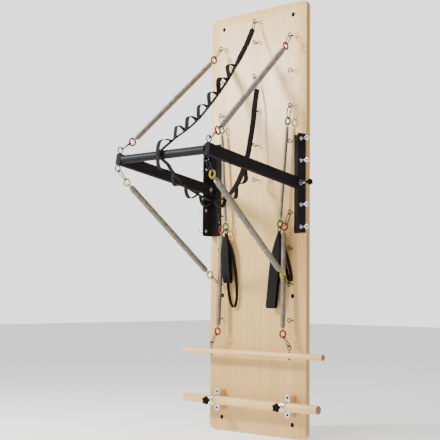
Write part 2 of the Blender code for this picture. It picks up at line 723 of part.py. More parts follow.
def wide_loop(drop, lean, belly, width):
    """Points (inboard, out, drop, width) of the band that bends round the hook's wire and hangs
    from it, down its front and up its back."""
    points = []
    for turn in (-35, 0, 35, 90):
        angle = math.radians(turn)
        out = HANDLE_BEND * math.sin(angle)
        points.append((0.0, out, HANDLE_BEND * (1 - math.cos(angle)), HANDLE_NECK_WIDTH))
    fold = 0.0075
    strand = drop - HANDLE_BEND - fold
    shares = (0.14, 0.36, 0.62, 0.86, 1.0)
    for front, order in ((1, shares), (-1, reversed(shares))):
        if front < 0:
            points.append((lean, 0.0, drop, width))
        for share in order:
            out = front * HANDLE_BEND * 0.9 + front * share * (fold - HANDLE_BEND * 0.9)
            if front > 0:
                out += belly * math.sin(math.pi * share)
            grown = min(1.0, share / 0.36) ** 0.7
            size = HANDLE_NECK_WIDTH + (width - HANDLE_NECK_WIDTH) * grown
            points.append((lean * share, out, HANDLE_BEND + strand * share, size))
    points.append((0.0, -HANDLE_BEND * 0.9, HANDLE_BEND, HANDLE_NECK_WIDTH))
    return points


def open_loop(drop, lean, half_gap, width):
    """Points (inboard, out, drop, width) of the band that is sewn behind the first and stands open."""
    points = []
    steps = 14
    for k in range(steps):
        turn = 2 * math.pi * k / steps
        share = (1 - math.cos(turn)) / 2
        inboard = 0.004 + lean * share + half_gap * math.sin(turn) * (0.45 + 0.55 * share)
        back = math.sin(min(1.0, share / 0.25) * math.pi / 2)
        grown = math.sin(min(1.0, share / 0.1) * math.pi / 2)
        size = HANDLE_NECK_WIDTH + (width - HANDLE_NECK_WIDTH) * grown
        points.append((inboard, -0.006 - 0.013 * back, OPEN_LOOP_TOP + (drop - OPEN_LOOP_TOP) * share, size))
    return points


def make_handle(hand, side, top, material, axis):
    """A wide loop that lies in the hook's bend, and a second loop sewn behind it at a right angle.
    The left hand loop is the wide one and its foot loop stands open; on the right it is the other way."""
    bm = bmesh.new()
    add_handle_band(bm, wide_loop(*WIDE_LOOPS[hand]), top, side, ALONG_X)
    handle = make_object(f"{hand}_handle", bm, material, axis)
    band = bmesh.new()
    add_handle_band(band, open_loop(*OPEN_LOOPS[hand]), top, side, (0, 1, 0))
    bmesh.ops.translate(band, vec=-axis.location, verts=band.verts)
    add_boolean(handle, band, "UNION").object.parent = axis
    return handle


def add_handle_band(bm, points, top, side, width_along):
    path = [top + Vector((-side * inboard, -out, -drop)) for inboard, out, drop, _ in points]
    add_band(bm, path, width_along, [width for _, _, _, width in points], HANDLE_THICKNESS, closed=True)


def make_roll_down(materials, wood):
    """Two springs that hang side by side and carry the roll-down bar."""
    eye_gap = EYE_RING_RADIUS - EYE_WIRE - HOOK_WIRE - 2 * LINK_SLACK
    bar_place = place(0, ROLL_BAR_OUT, ROLL_BAR_HEIGHT)
    bar_axis = make_axis("roll_down_axis", bar_place)
    for side, hand in ((-1, "left"), (1, "right")):
        eye = place(side * EYE_COLUMN, EYE_RING_OUT, row_height(3))
        bar_eye = place(side * ROLL_EYE_COLUMN, ROLL_BAR_OUT, ROLL_BAR_HEIGHT + ROLL_EYE_RISE)
        first = (direction(-side * 0.225, 0.17, -1.0), direction(-side * 1.0, 0.10, -1.0))
        last = (direction(side * 0.66, 0.0, -1.0),) * 2
        pulls = (first, last)
        turns = ((0.0, side * math.radians(80)), side * math.radians(84), (side * math.radians(90),) * 2)
        hang_spring(f"leg_{hand}_spring", (eye, bar_eye), (eye_gap, eye_gap), pulls, materials, turns)
        make_roll_eye_bolt(f"roll_down_{hand}_eye_bolt", bar_eye, materials[0], bar_axis)

    bm = bmesh.new()
    half = ROLL_BAR_LENGTH / 2
    profile = ((0, ROLL_BAR_RADIUS - 0.002), (0.002, ROLL_BAR_RADIUS),
               (ROLL_BAR_LENGTH - 0.002, ROLL_BAR_RADIUS), (ROLL_BAR_LENGTH, ROLL_BAR_RADIUS - 0.002))
    add_turned(bm, bar_place - ALONG_X * half, ALONG_X, profile, 20)
    bar = make_object("roll_down_bar", bm, wood, bar_axis)
    holes = bmesh.new()
    for side in (-1, 1):
        start = bar_place + Vector((side * ROLL_EYE_COLUMN, 0, -ROLL_BAR_RADIUS - 0.002))
        bore = ((0, EYE_WIRE + GAP), (2 * ROLL_BAR_RADIUS + 0.004, EYE_WIRE + GAP))
        add_turned(holes, start, (0, 0, 1), bore, 10)
    add_boolean(bar, holes, "DIFFERENCE")


def make_roll_eye_bolt(name, eye, material, axis):
    """An eye over the bar, its bolt through the bar, and a nut below."""
    upward = Vector((0, 0, 1))
    middle = eye - upward * ROLL_EYE_RISE
    under = -ROLL_BAR_RADIUS - GAP
    nut = under - 0.005
    stem = [(nut - 0.003, EYE_WIRE), (nut, EYE_WIRE), (nut, 0.005), (under, 0.005), (under, EYE_WIRE),
            (ROLL_EYE_RISE - EYE_RING_RADIUS - 0.002, EYE_WIRE)]
    ring = circle_path(eye, -upward, ALONG_X, EYE_RING_RADIUS, 12, 8, 325)
    path = [middle + upward * rise for rise, _ in stem] + ring
    radii = [size for _, size in stem] + [EYE_WIRE] * len(ring)
    bm = bmesh.new()
    add_stem(bm, path, radii, (0, 1, 0), upward, 6)
    return make_object(name, bm, material, axis)


# Foot bar


def make_foot_bar(wood, metal, plastic):
    centre = place(0, FOOT_BAR_OUT, FOOT_BAR_HEIGHT)
    axis = make_axis("foot_bar_axis", centre)
    bm = bmesh.new()
    profile = ((0, FOOT_BAR_RADIUS - 0.0025), (0.0025, FOOT_BAR_RADIUS),
               (FOOT_BAR_LENGTH - 0.0025, FOOT_BAR_RADIUS), (FOOT_BAR_LENGTH, FOOT_BAR_RADIUS - 0.0025))
    add_turned(bm, centre - ALONG_X * (FOOT_BAR_LENGTH / 2), ALONG_X, profile, 24)
    make_object("foot_bar", bm, wood, axis)
    for side, hand in ((-1, "left"), (1, "right")):
        make_foot_block(f"foot_{hand}_block", side, wood)
        make_foot_clamp(f"foot_{hand}_clamp", side, metal)
        tip = place(side * BLOCK_CENTRE, FOOT_BAR_OUT + FOOT_BAR_RADIUS + GAP, FOOT_BAR_HEIGHT)
        spin = make_axis(f"foot_{hand}_knob_axis", tip)
        stud = (FOOT_KNOB_STUD, CLAMP_STUD_RADIUS)
        make_star_knob(f"foot_{hand}_knob", tip, (0, -1, 0), stud, FOOT_KNOB_RADIUS, plastic, spin)


def make_foot_block(name, side, wood):
    bm = bmesh.new()
    outline = rounded_rectangle(BLOCK_WIDTH, BLOCK_HEIGHT, 0.004, 2)
    start = place(side * BLOCK_CENTRE, GAP, FOOT_BAR_HEIGHT)
    add_prism(bm, outline, start, ALONG_X, (0, 0, 1), BLOCK_DEPTH)
    return make_object(name, bm, wood)


def make_foot_clamp(name, side, metal):
    """A lozenge plate on the block with a collar for the bar and a boss for the knob's screw."""
    half_width = BLOCK_WIDTH / 2 - 0.001
    half_height = CLAMP_PLATE_HEIGHT / 2
    end = 0.014
    outline = []
    for sign in (1, -1):
        for k in range(7):
            turn = math.radians(90 * sign - 60 + 20 * k)
            outline.append((end * math.cos(turn), sign * (half_height - end) + end * math.sin(turn)))
        outline.append((-sign * half_width, sign * 0.012))
        outline.append((-sign * half_width, -sign * 0.012))
    front = GAP + BLOCK_DEPTH + GAP
    bm = bmesh.new()
    start = place(side * BLOCK_CENTRE, front, FOOT_BAR_HEIGHT)
    add_prism(bm, outline, start, ALONG_X, (0, 0, 1), CLAMP_PLATE_THICKNESS)
    clamp = make_object(name, bm, metal)

    outer = FOOT_BAR_RADIUS + 0.0005 + CLAMP_COLLAR_WALL
    centre = place(side * BLOCK_CENTRE, FOOT_BAR_OUT, FOOT_BAR_HEIGHT)
    collar = bmesh.new()
    plug = ((0, outer), (CLAMP_COLLAR_WIDTH, outer))
    add_turned(collar, centre - ALONG_X * (CLAMP_COLLAR_WIDTH / 2), ALONG_X, plug, 24)
    add_boolean(clamp, collar, "UNION")
    boss = bmesh.new()
    boss_profile = ((0, CLAMP_BOSS_RADIUS), (outer + CLAMP_BOSS_LENGTH, CLAMP_BOSS_RADIUS - 0.001))
    add_turned(boss, centre, (0, -1, 0), boss_profile, 14)
    add_boolean(clamp, boss, "UNION")
    bores = bmesh.new()
    bar_bore = ((0, FOOT_BAR_RADIUS + 0.0005), (0.060, FOOT_BAR_RADIUS + 0.0005))
    add_turned(bores, centre - ALONG_X * 0.030, ALONG_X, bar_bore, 24)
    add_boolean(clamp, bores, "DIFFERENCE")
    threads = bmesh.new()
    stud_bore = ((0, CLAMP_STUD_RADIUS + GAP), (0.060, CLAMP_STUD_RADIUS + GAP))
    add_turned(threads, centre, (0, -1, 0), stud_bore, 12)
    for rise in (-1, 1):
        screw = place(side * BLOCK_CENTRE, front - 0.001, FOOT_BAR_HEIGHT + rise * CLAMP_SCREW_RISE)
        add_turned(threads, screw, (0, -1, 0), ((0, 0.003), (0.008, 0.003)), 10)
    add_boolean(clamp, threads, "DIFFERENCE")
    return clamp


# Strap of sewn loops


def make_loop_strap(webbing):
    """Webbing from the top eye over the cross tube and back up, with hand loops sewn along it."""
    tube_out = PIVOT[0] + CROSS_TUBE_REACH * math.cos(BAR_TILT)
    tube_height = PIVOT[1] + CROSS_TUBE_REACH * math.sin(BAR_TILT)
    over = CROSS_TUBE_RADIUS + 0.0016 + STRAP_THICKNESS / 2
    route = [(0.0, 0.072, 1.834), (0.0, 0.112, 1.772), (0.0, 0.149, 1.715), (0.0, 0.198, 1.645),
             (0.0, 0.266, 1.564), (0.0, 0.327, 1.498), (0.0, 0.397, 1.429), (0.0, 0.471, 1.371),
             (0.0, 0.542, 1.326)]
    for turn in (58, 28, -2, -30, -55, -80):
        angle = math.radians(turn)
        route.append((0.0, tube_out + over * math.cos(angle), tube_height + over * math.sin(angle)))
    route += [(0.0, 0.581, 1.207), (0.0, 0.556, 1.181), (0.0, 0.482, 1.128), (0.0, 0.392, 1.090),
              (0.0, 0.297, 1.068), (0.0, 0.212, 1.092), (0.001, 0.145, 1.150), (0.003, 0.092, 1.243),
              (0.006, 0.071, 1.305), (0.009, 0.060, 1.364), (0.016, 0.048, 1.456),
              (0.018, 0.040, 1.530), (0.0165, 0.028, 1.585)]
    ends = []
    for height, pull, length in STRAP_HOOKS.values():
        reach = STRAP_HOOK_GAP + length + HOOK_WIRE + GAP
        ends.append(place(0, EYE_RING_OUT, height) + direction(*pull).normalized() * reach)
    points = [ends[0]] + [place(*item) for item in route] + [ends[1]]
    bm = bmesh.new()
    add_band(bm, smooth_path(points, 2), ALONG_X, STRAP_WIDTH, STRAP_THICKNESS)
    strap = make_object("loop_strap", bm, webbing)

    loops = bmesh.new()
    for index in STRAP_LOOP_STARTS:
        add_strap_loop(loops, points[index], points[index + 1], STRAP_LOOP_BULGE)
    path = []
    for k, turn in enumerate(STRAP_TUBE_LOOP_TURNS):
        angle = math.radians(turn)
        reach = over + STRAP_TUBE_LOOP_BULGE * math.sin(math.pi * k / 8) ** 0.6 if 0 < k < 8 else over
        path.append(place(0, tube_out + reach * math.cos(angle), tube_height + reach * math.sin(angle)))
    add_band(loops, path, ALONG_X, STRAP_WIDTH - 0.002, STRAP_THICKNESS * 0.8)
    add_boolean(strap, loops, "UNION")
    return strap


def add_strap_loop(bm, start, end, bulge):
    """A sewn loop that stands off the strap between two of its points."""
    along = end - start
    away = along.cross(ALONG_X).normalized()
    path = []
    for k in range(9):
        turn = math.pi * k / 8
        share = 0.5 - 0.46 * math.cos(turn)
        lift = bulge * math.sin(turn) ** 0.55 if 0 < k < 8 else 0.0
        path.append(start + along * share + away * lift)
    add_band(bm, path, ALONG_X, STRAP_WIDTH - 0.002, STRAP_THICKNESS * 0.8)


def make_strap_hooks(metal):
    """The hooks that hang the strap's two ends from the middle column of screw eyes."""
    for name, (height, pull, length) in STRAP_HOOKS.items():
        pull = direction(*pull).normalized()
        bm = bmesh.new()
        add_hook(bm, place(0, EYE_RING_OUT, height) + pull * STRAP_HOOK_GAP, pull, 0.0, length)
        make_object(name, bm, metal)


def main():
    clear_scene()
    pine = make_material("Pine board", (0.80, 0.66, 0.48), 0.45)
    beech = make_material("Beech dowel", (0.83, 0.64, 0.46), 0.42)
    black_steel = make_material("Black powder coat", (0.02, 0.02, 0.022), 0.5)
    slate_tube = make_material("Slate satin tube", (0.05, 0.055, 0.07), 0.35)
    chrome = make_material("Chrome", (0.80, 0.80, 0.82), 0.12, 1.0)
    spring_steel = make_material("Spring steel", (0.45, 0.42, 0.38), 0.3, 1.0)
    black_plastic = make_material("Black plastic", (0.012, 0.012, 0.012), 0.4)
    webbing = make_material("Black webbing", (0.015, 0.015, 0.017), 0.8)

    used_rows = {"lower": 1, "leg": 3, "arm": 6, "upper": 8}
    eyes = []
    for label, row in used_rows.items():
        for side, hand in ((-1, "left"), (1, "right")):
            eyes.append((f"{label}_{hand}_screw_eye", side * EYE_COLUMN, row_height(row)))
    eyes.append(("strap_top_screw_eye", 0.0, EYE_TOP_CENTRE_HEIGHT))
    eyes.append(("strap_end_screw_eye", 0.0, row_height(7)))
    eye_places = [(x, height) for _, x, height in eyes]
    spare_places = []
    for column, rows in ((-EYE_COLUMN, range(9)), (0.0, range(4, 9)), (EYE_COLUMN, range(9))):
        for row in rows:
            if (column, row_height(row)) not in eye_places:
                spare_places.append((column, row_height(row)))
    make_board(pine, eye_places, spare_places)
    for name, x, height in eyes:
        make_screw_eye(name, x, height, chrome)

    bar_axis = make_axis("push_bar_axis", place(0, *PIVOT))
    make_cross_tube(slate_tube, bar_axis)
    for side, hand in ((-1, "left"), (1, "right")):
        make_bracket(f"{hand}_bracket", side, black_steel)
        make_arm(f"{hand}_arm", side, black_steel, bar_axis)
        make_bar_eye_bolt(f"{hand}_bar_eye_bolt", side, chrome, bar_axis)
        tip = place(side * (PIVOT_PIN_TIP + 0.0005), *PIVOT)
        spin = make_axis(f"{hand}_pivot_knob_axis", tip)
        stud = (PIVOT_KNOB_STUD, PIVOT_PIN_RADIUS)
        make_star_knob(f"{hand}_pivot_knob", tip, (side, 0, 0), stud, PIVOT_KNOB_RADIUS, black_plastic, spin)

    springs = (chrome, spring_steel)
    make_bar_springs(springs)
    make_arm_springs(springs, webbing)
    make_roll_down(springs, beech)
    make_foot_bar(beech, chrome, black_plastic)
    make_loop_strap(webbing)
    make_strap_hooks(chrome)


main()
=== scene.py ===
"""Looks of the wall springboard: varnished board, plated hardware, wound springs, webbing and dowels.

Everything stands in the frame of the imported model, in metres: X across the board, -Y out of its
face, +Z up, with the origin at the middle of the back. Heights in the tables are from the board's
lower edge and distances "out" are from its front face, as a fitter would measure them.
"""

import math
import random

import bmesh
import bpy
import numpy as np
from mathutils import Matrix, Vector


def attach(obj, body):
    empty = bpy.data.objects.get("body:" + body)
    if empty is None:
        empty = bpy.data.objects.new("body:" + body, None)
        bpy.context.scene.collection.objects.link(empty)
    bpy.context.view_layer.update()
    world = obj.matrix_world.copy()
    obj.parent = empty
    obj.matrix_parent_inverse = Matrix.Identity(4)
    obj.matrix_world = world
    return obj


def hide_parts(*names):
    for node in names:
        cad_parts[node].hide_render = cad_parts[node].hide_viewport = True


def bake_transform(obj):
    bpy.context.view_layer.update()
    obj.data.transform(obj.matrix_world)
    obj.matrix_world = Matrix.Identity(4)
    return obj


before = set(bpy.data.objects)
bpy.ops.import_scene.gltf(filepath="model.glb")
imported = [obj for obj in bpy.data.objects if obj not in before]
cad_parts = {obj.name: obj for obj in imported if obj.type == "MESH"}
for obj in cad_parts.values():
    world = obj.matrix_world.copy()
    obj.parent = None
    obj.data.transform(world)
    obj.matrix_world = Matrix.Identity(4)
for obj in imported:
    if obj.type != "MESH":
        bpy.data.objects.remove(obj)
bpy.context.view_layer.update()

BOARD_WIDTH = 0.600
BOARD_HEIGHT = 2.000
BOARD_THICKNESS = 0.027
BOARD_CORNER = 0.028
STAVE_WIDTH = 0.086
WALL_BOLT_COLUMN = 0.219
WALL_BOLT_HEIGHTS = (0.060, 0.641, 1.944)

EYE_COLUMN = 0.2185
EYE_ROW_LOW = 0.531
EYE_ROW_PITCH = 0.164
EYE_TOP_CENTRE_HEIGHT = 1.944
EYE_RING_OUT = 0.022
EYE_RING_RADIUS = 0.010
EYE_WIRE = 0.0022

BRACKET_HEIGHT = 1.153
BRACKET_LENGTH = 0.450
BRACKET_FACE = 0.2995
BRACKET_FLANGE = 0.068
BRACKET_FIN = 0.060
BRACKET_THICKNESS = 0.005
SIDE_EYE_PITCH = 0.100

BAR_TILT = math.radians(9.4)
PIVOT = (0.040, BRACKET_HEIGHT)
PIVOT_PIN_RADIUS = 0.005
PIVOT_PIN_TIP = 0.325
PIVOT_KNOB_STUD = 0.014
ARM_HEIGHT = 0.050
ARM_WIDTH = 0.030
ARM_CENTRE = 0.2775
ARM_FRONT = 0.600
ARM_REAR = 0.022
CROSS_TUBE_REACH = 0.578
CROSS_TUBE_RADIUS = 0.019
BAR_EYE_REACH = 0.588
BAR_EYE_OFFSET = 0.043
BAR_EYE_RADIUS = 0.0138
BAR_EYE_WIRE = 0.0025

# Radii of the windings: the bar springs, the leg springs and the lighter arm springs
COIL_RADIUS = 0.0136
LEG_COIL_RADIUS = 0.0120
ARM_COIL_RADIUS = 0.0080
COIL_WIRE = 0.00125
COIL_PITCH = 0.00252
COIL_TAPER = 0.012
COIL_END_RADIUS = 0.0048
COIL_END_LOOP = 0.0075
COIL_END_WIRE = 0.0015
HOOK_LENGTH = 0.0577
HANDLE_HOOK_LENGTH = 0.030
STRAP_HOOK_LENGTH = 0.034
HOOK_HALF_WIDTH = 0.0077
OPEN_HOOK_HALF_WIDTH = 0.0116
BAR_HOOK_HALF_WIDTH = 0.0096
LEG_HOOK_HALF_WIDTH = 0.0076
HOOK_NARROW_HALF_WIDTH = 0.0065
HOOK_WIRE = 0.0022
RING_RADIUS = 0.0162
RING_WIRE = 0.0038
LINK_SLACK = 0.0011
BAR_LINK_SLACK = 0.0014
# From the middle of an eye to the bend of the hook that hangs in it
EYE_GAP = EYE_RING_RADIUS - EYE_WIRE - HOOK_WIRE - LINK_SLACK
BAR_EYE_GAP = BAR_EYE_RADIUS - BAR_EYE_WIRE - HOOK_WIRE - BAR_LINK_SLACK
# Where an arm spring's last hook bends: across, out and up
ARM_HANGER = (0.166, 0.032, 0.9297)

ROLL_BAR_RADIUS = 0.014
ROLL_BAR_LENGTH = 0.870
ROLL_BAR_OUT = 0.049
ROLL_BAR_HEIGHT = 0.374
ROLL_EYE_COLUMN = 0.243
ROLL_EYE_RISE = 0.036
FOOT_BAR_RADIUS = 0.020
FOOT_BAR_LENGTH = 0.830
FOOT_BAR_OUT = 0.0566
FOOT_BAR_HEIGHT = 0.1455
BLOCK_CENTRE = 0.219
BLOCK_SIZE = (0.044, 0.030, 0.098)

STRAP_WIDTH = 0.025
STRAP_LOOP_WIDTH = 0.022
STRAP_THICKNESS = 0.003
STRAP_LOOP_THICKNESS = 0.0024
STRAP_OVER_TUBE = CROSS_TUBE_RADIUS + 0.0016 + STRAP_THICKNESS / 2
# The strap's route, across, out and up: from the top eye to the cross tube, and back to its lower eye
STRAP_OUTWARD_RUN = ((0.0, 0.072, 1.834), (0.0, 0.112, 1.772), (0.0, 0.149, 1.715), (0.0, 0.198, 1.645),
                     (0.0, 0.266, 1.564), (0.0, 0.327, 1.498), (0.0, 0.397, 1.429), (0.0, 0.471, 1.371),
                     (0.0, 0.542, 1.326))
STRAP_RETURN_RUN = ((0.0, 0.581, 1.207), (0.0, 0.556, 1.181), (0.0, 0.482, 1.128), (0.0, 0.392, 1.090),
                    (0.0, 0.297, 1.068), (0.0, 0.212, 1.092), (0.001, 0.145, 1.150), (0.003, 0.092, 1.243),
                    (0.006, 0.071, 1.305), (0.009, 0.060, 1.364), (0.016, 0.048, 1.456),
                    (0.018, 0.040, 1.530), (0.0165, 0.028, 1.585))
# Degrees that the strap's width is turned from the board's X, at points of its route
STRAP_TURNS = ((0, 41), (2.3, 38), (3.3, -12), (8, -10), (10, 0), (15, 0), (17, -6), (19, -14), (20.5, 0),
               (22, 34), (29, 41))
# Where each sewn loop begins on the route, and the degrees its width is turned
STRAP_LOOPS = ((3, 10), (4, 46), (5, 6), (6, 0), (7, 6), (8, -4), (17, 0), (18, 4), (19, -4), (20, 6),
               (21, 14), (22, 20))
STRAP_LOOP_HEIGHT = 0.040
# The outline of a sewn loop, from its lower end: shares of its chord and of its height
STRAP_LOOP_SHAPE = ((0.01, 0.0), (0.12, 0.30), (0.24, 0.62), (0.36, 0.90), (0.47, 1.0), (0.62, 0.90),
                    (0.75, 0.62), (0.83, 0.30), (0.87, 0.0))
# The large loop in front of the cross tube: distances out and up from the tube's middle
TUBE_LOOP = ((-0.046, 0.066), (-0.016, 0.069), (0.014, 0.061), (0.029, 0.040), (0.033, 0.010),
             (0.032, -0.026), (0.027, -0.052), (0.010, -0.066), (-0.030, -0.062))
HANDLE_THICKNESS = 0.004
HANDLE_NECK_WIDTH = 0.008
HANDLE_BEND = 0.0065
OPEN_LOOP_TOP = 0.036
STITCH_PITCH = 0.0035

# Each handle's wide loop and its open loop: drop, lean inboard, belly or half gap, and width
WIDE_LOOPS = {"left": (0.235, 0.012, 0.0095, 0.048), "right": (0.350, 0.046, 0.0045, 0.056)}
OPEN_LOOPS = {"left": (0.350, 0.030, 0.036, 0.0175), "right": (0.226, -0.056, 0.016, 0.020)}

# The strap's two hooks: the height of the eye, the pull across, outwards and up, and the length
STRAP_HOOKS = {
    "strap_top_hook": (EYE_TOP_CENTRE_HEIGHT, (0.0, 0.020, -0.060), STRAP_HOOK_LENGTH),
    "strap_end_hook": (EYE_ROW_LOW + 7 * EYE_ROW_PITCH, (0.016, -0.002, -0.069), HOOK_LENGTH),
}

# The camera solved from the photograph: its place, its yaw, pitch and roll in degrees, and its lens
CAMERA_PLACE = (3.3336, -3.7794, -0.3399)
CAMERA_TURNS = (43.60, 3.834, 0.407)
CAMERA_LENS = 87.2
# Name, place, target, size and power of each lamp
LAMPS = (
    ("Key softbox", (-1.45, -1.80, 1.05), (0.0, 0.0, 0.1), 0.35, 105.0),
    ("Top softbox", (0.3, -2.2, 2.6), (0.0, 0.0, 0.5), 1.4, 75.0),
    ("Front fill", (2.6, -4.2, 1.2), (0.0, -0.1, -0.1), 3.0, 15.0),
)
WORLD_LIGHT = 0.65
BACKDROP_LIGHT = 2.0
FLOOR_LEVEL = -1.004
FLOOR_REACH = 14

ALONG_X = Vector((1.0, 0.0, 0.0))
UPWARD = Vector((0.0, 0.0, 1.0))
OUTWARD = Vector((0.0, -1.0, 0.0))
HANDS = ((-1, "left"), (1, "right"))


def place(x, out, height):
    """A point from its place on the board: across, out from the face, up from the lower edge."""
    return Vector((x, -BOARD_THICKNESS - out, height - BOARD_HEIGHT / 2))


def direction(x, out, rise):
    """A direction from its parts across, outwards and upwards."""
    return Vector((x, -out, rise))


def along_bar(x, reach, rise=0.0):
    """A point on the push-through bar: reach along its arms from the pivot, rise square to them."""
    out = PIVOT[0] + reach * math.cos(BAR_TILT) - rise * math.sin(BAR_TILT)
    height = PIVOT[1] + reach * math.sin(BAR_TILT) + rise * math.cos(BAR_TILT)
    return place(x, out, height)


def row_height(row):
    """Height of a row of screw eyes, counted from the lowest row."""
    return EYE_ROW_LOW + EYE_ROW_PITCH * row


# Shapes


class Shape:
    """Points and faces gathered for one piece, with a texture place for each corner of a face."""

    def __init__(self):
        self.points, self.faces, self.places, self.slots = [], [], [], []

    def add(self, points, faces, places=None, slot=0):
        first = len(self.points)
        self.points += [tuple(point) for point in points]
        for index, face in enumerate(faces):
            self.faces.append(tuple(first + i for i in face))
            self.places.append(places[index] if places else [(0.0, 0.0)] * len(face))
            self.slots.append(slot)

    def sweep(self, path, section, normals, sizes=1.0, closed=False, tangent=None, slot=0):
        """A section carried along a path. normals point along the section's first axis."""
        path = np.array([tuple(point) for point in path], dtype=float)
        count, sides = len(path), len(section)
        if closed:
            ahead, behind = np.roll(path, -1, axis=0), np.roll(path, 1, axis=0)
        else:
            ahead = np.vstack([path[1:], path[-1:]])
            behind = np.vstack([path[:1], path[:-1]])
        along = ahead - behind if tangent is None else np.tile(np.array(tangent, dtype=float), (count, 1))
        along /= np.linalg.norm(along, axis=1)[:, None]
        normal = np.array(normals, dtype=float)
        if normal.ndim == 1:
            normal = np.tile(normal, (count, 1))
        normal = normal - along * (normal * along).sum(axis=1)[:, None]
        normal /= np.linalg.norm(normal, axis=1)[:, None]
        other = np.cross(along, normal)
        section, sizes = np.array(section, dtype=float), np.array(sizes, dtype=float)
        if sizes.ndim == 1:
            sizes = sizes[:, None]
        sizes = np.broadcast_to(sizes, (count, 2))
        first = section[None, :, 0, None] * sizes[:, None, 0, None] * normal[:, None, :]
        second = section[None, :, 1, None] * sizes[:, None, 1, None] * other[:, None, :]
        points = (path[:, None, :] + first + second).reshape(-1, 3)
        run = running_length(np.vstack([path, path[:1]]))
        round_it = running_length(np.vstack([section, section[:1]]))
        faces, places = [], []
        for i in range(count if closed else count - 1):
            j = (i + 1) % count
            for k in range(sides):
                m = (k + 1) % sides
                faces.append((i * sides + k, i * sides + m, j * sides + m, j * sides + k))
                places.append(((run[i], round_it[k]), (run[i], round_it[k + 1]),
                               (run[i + 1], round_it[k + 1]), (run[i + 1], round_it[k])))
        if not closed:
            faces.append(tuple(range(sides - 1, -1, -1)))
            faces.append(tuple(range((count - 1) * sides, count * sides)))
            for end in (section[::-1], section):
                places.append([(float(u), float(v)) for u, v in end])
        self.add(points, faces, places, slot)

    def wire(self, path, radius, normal, sides=12, closed=False, slot=0):
        """A round wire along a path that lies in the plane square to normal."""
        self.sweep(path, circle(sides), normal, radius, closed, slot=slot)

    def turned(self, origin, axis, profile, sides=48, closed=False):
        """A shape turned on a lathe: profile holds (distance along the axis, radius)."""
        axis = Vector(axis).normalized()
        path = [Vector(origin) + axis * distance for distance, _ in profile]
        radii = [max(radius, 1e-5) for _, radius in profile]
        self.sweep(path, circle(sides), axis.orthogonal().normalized(), radii, closed, tangent=axis)

    def prism(self, outline, origin, axis_u, axis_v, depth):
        """An outline pushed along the cross product of its two axes."""
        axis_u, axis_v = Vector(axis_u), Vector(axis_v)
        push = axis_u.cross(axis_v).normalized() * depth
        low = [Vector(origin) + axis_u * u + axis_v * v for u, v in outline]
        count = len(low)
        faces = [tuple(range(count - 1, -1, -1)), tuple(range(count, 2 * count))]
        faces += [(i, (i + 1) % count, count + (i + 1) % count, count + i) for i in range(count)]
        self.add(low + [point + push for point in low], faces)


def running_length(path):
    """The distance along a path at each of its points."""
    steps = np.linalg.norm(np.diff(path, axis=0), axis=1)
    return np.concatenate([[0.0], np.cumsum(steps)])


def circle(sides):
    turns = np.arange(sides) * 2 * math.pi / sides
    return np.stack([np.cos(turns), np.sin(turns)], axis=1)


def flat_arc(u, v, radius, first, last, steps):
    """Points of an arc in a plane between two turns in degrees, with both its ends."""
    turns = [math.radians(first + (last - first) * k / steps) for k in range(steps + 1)]
    return [(u + radius * math.cos(turn), v + radius * math.sin(turn)) for turn in turns]


def rounded_rectangle(width, height, radius, steps):
    """Outline of a rectangle with round corners, anticlockwise about the origin."""
    points = []
    for sx, sy, first in ((1, 1, 0), (-1, 1, 90), (-1, -1, 180), (1, -1, 270)):
        points += flat_arc(sx * (width / 2 - radius), sy * (height / 2 - radius), radius, first, first + 90, steps)
    return points


def arc(centre, axis_a, axis_b, radius, steps, first=0.0, last=360.0):
    """Points on an arc that starts on axis_a and turns towards axis_b, in degrees."""
    whole = abs(last - first) >= 360.0
    points = []
    for k in range(steps if whole else steps + 1):
        turn = math.radians(first + (last - first) * k / steps)
        points.append(Vector(centre) + radius * (math.cos(turn) * Vector(axis_a) + math.sin(turn) * Vector(axis_b)))
    return points


def smooth_path(points, steps, closed=False):
    """A smooth curve through points of any number of values, with a few steps to each stretch."""
    values = np.array([tuple(point) for point in points], dtype=float)
    padded = np.vstack([values[-1:], values, values[:2]] if closed else [values[:1], values, values[-1:]])
    path = []
    for i in range(1, len(padded) - 2):
        a, b, c, d = padded[i - 1:i + 3]
        for k in range(steps):
            t = k / steps
            path.append(0.5 * (2 * b + (c - a) * t + (2 * a - 5 * b + 4 * c - d) * t * t
                               + (3 * b - a - 3 * c + d) * t ** 3))
    if not closed:
        path.append(values[-1])
    return np.array(path)


def carried_normals(path, first):
    """Normals along a path that turn no more than the path does."""
    normal = Vector(first)
    normals = []
    for i in range(len(path)):
        along = Vector(path[min(i + 1, len(path) - 1)]) - Vector(path[max(i - 1, 0)])
        along.normalize()
        normal = (normal - along * normal.dot(along)).normalized()
        normals.append(tuple(normal))
    return normals


# Pieces


def link_object(name, data):
    """A new object in the scene."""
    piece = bpy.data.objects.new(name, data)
    bpy.context.scene.collection.objects.link(piece)
    return piece


def make_piece(name, shape, materials, body=None, replaces=(), slot=None, soft_angle=40.0):
    """A finished object from a shape; it rides on a body and stands for CAD nodes."""
    mesh = bpy.data.meshes.new(name)
    mesh.from_pydata(shape.points, [], shape.faces)
    layer = mesh.uv_layers.new(name="Surface")
    layer.data.foreach_set("uv", [value for places in shape.places for pair in places for value in pair])
    for material in materials if isinstance(materials, list) else [materials]:
        mesh.materials.append(material)
    mesh.polygons.foreach_set("material_index", shape.slots)
    smooth_faces(mesh, soft_angle)
    piece = link_object(name, mesh)
    finish_piece(piece, body, replaces, slot)
    return piece


def finish_piece(piece, body, replaces=(), slot=None):
    if body:
        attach(piece, body)
    if replaces:
        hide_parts(*replaces)


def smooth_faces(mesh, angle):
    """Soft shading, with the edges that are sharper than an angle in degrees left crisp."""
    mesh.shade_smooth()
    mesh.set_sharp_from_angle(angle=math.radians(angle))


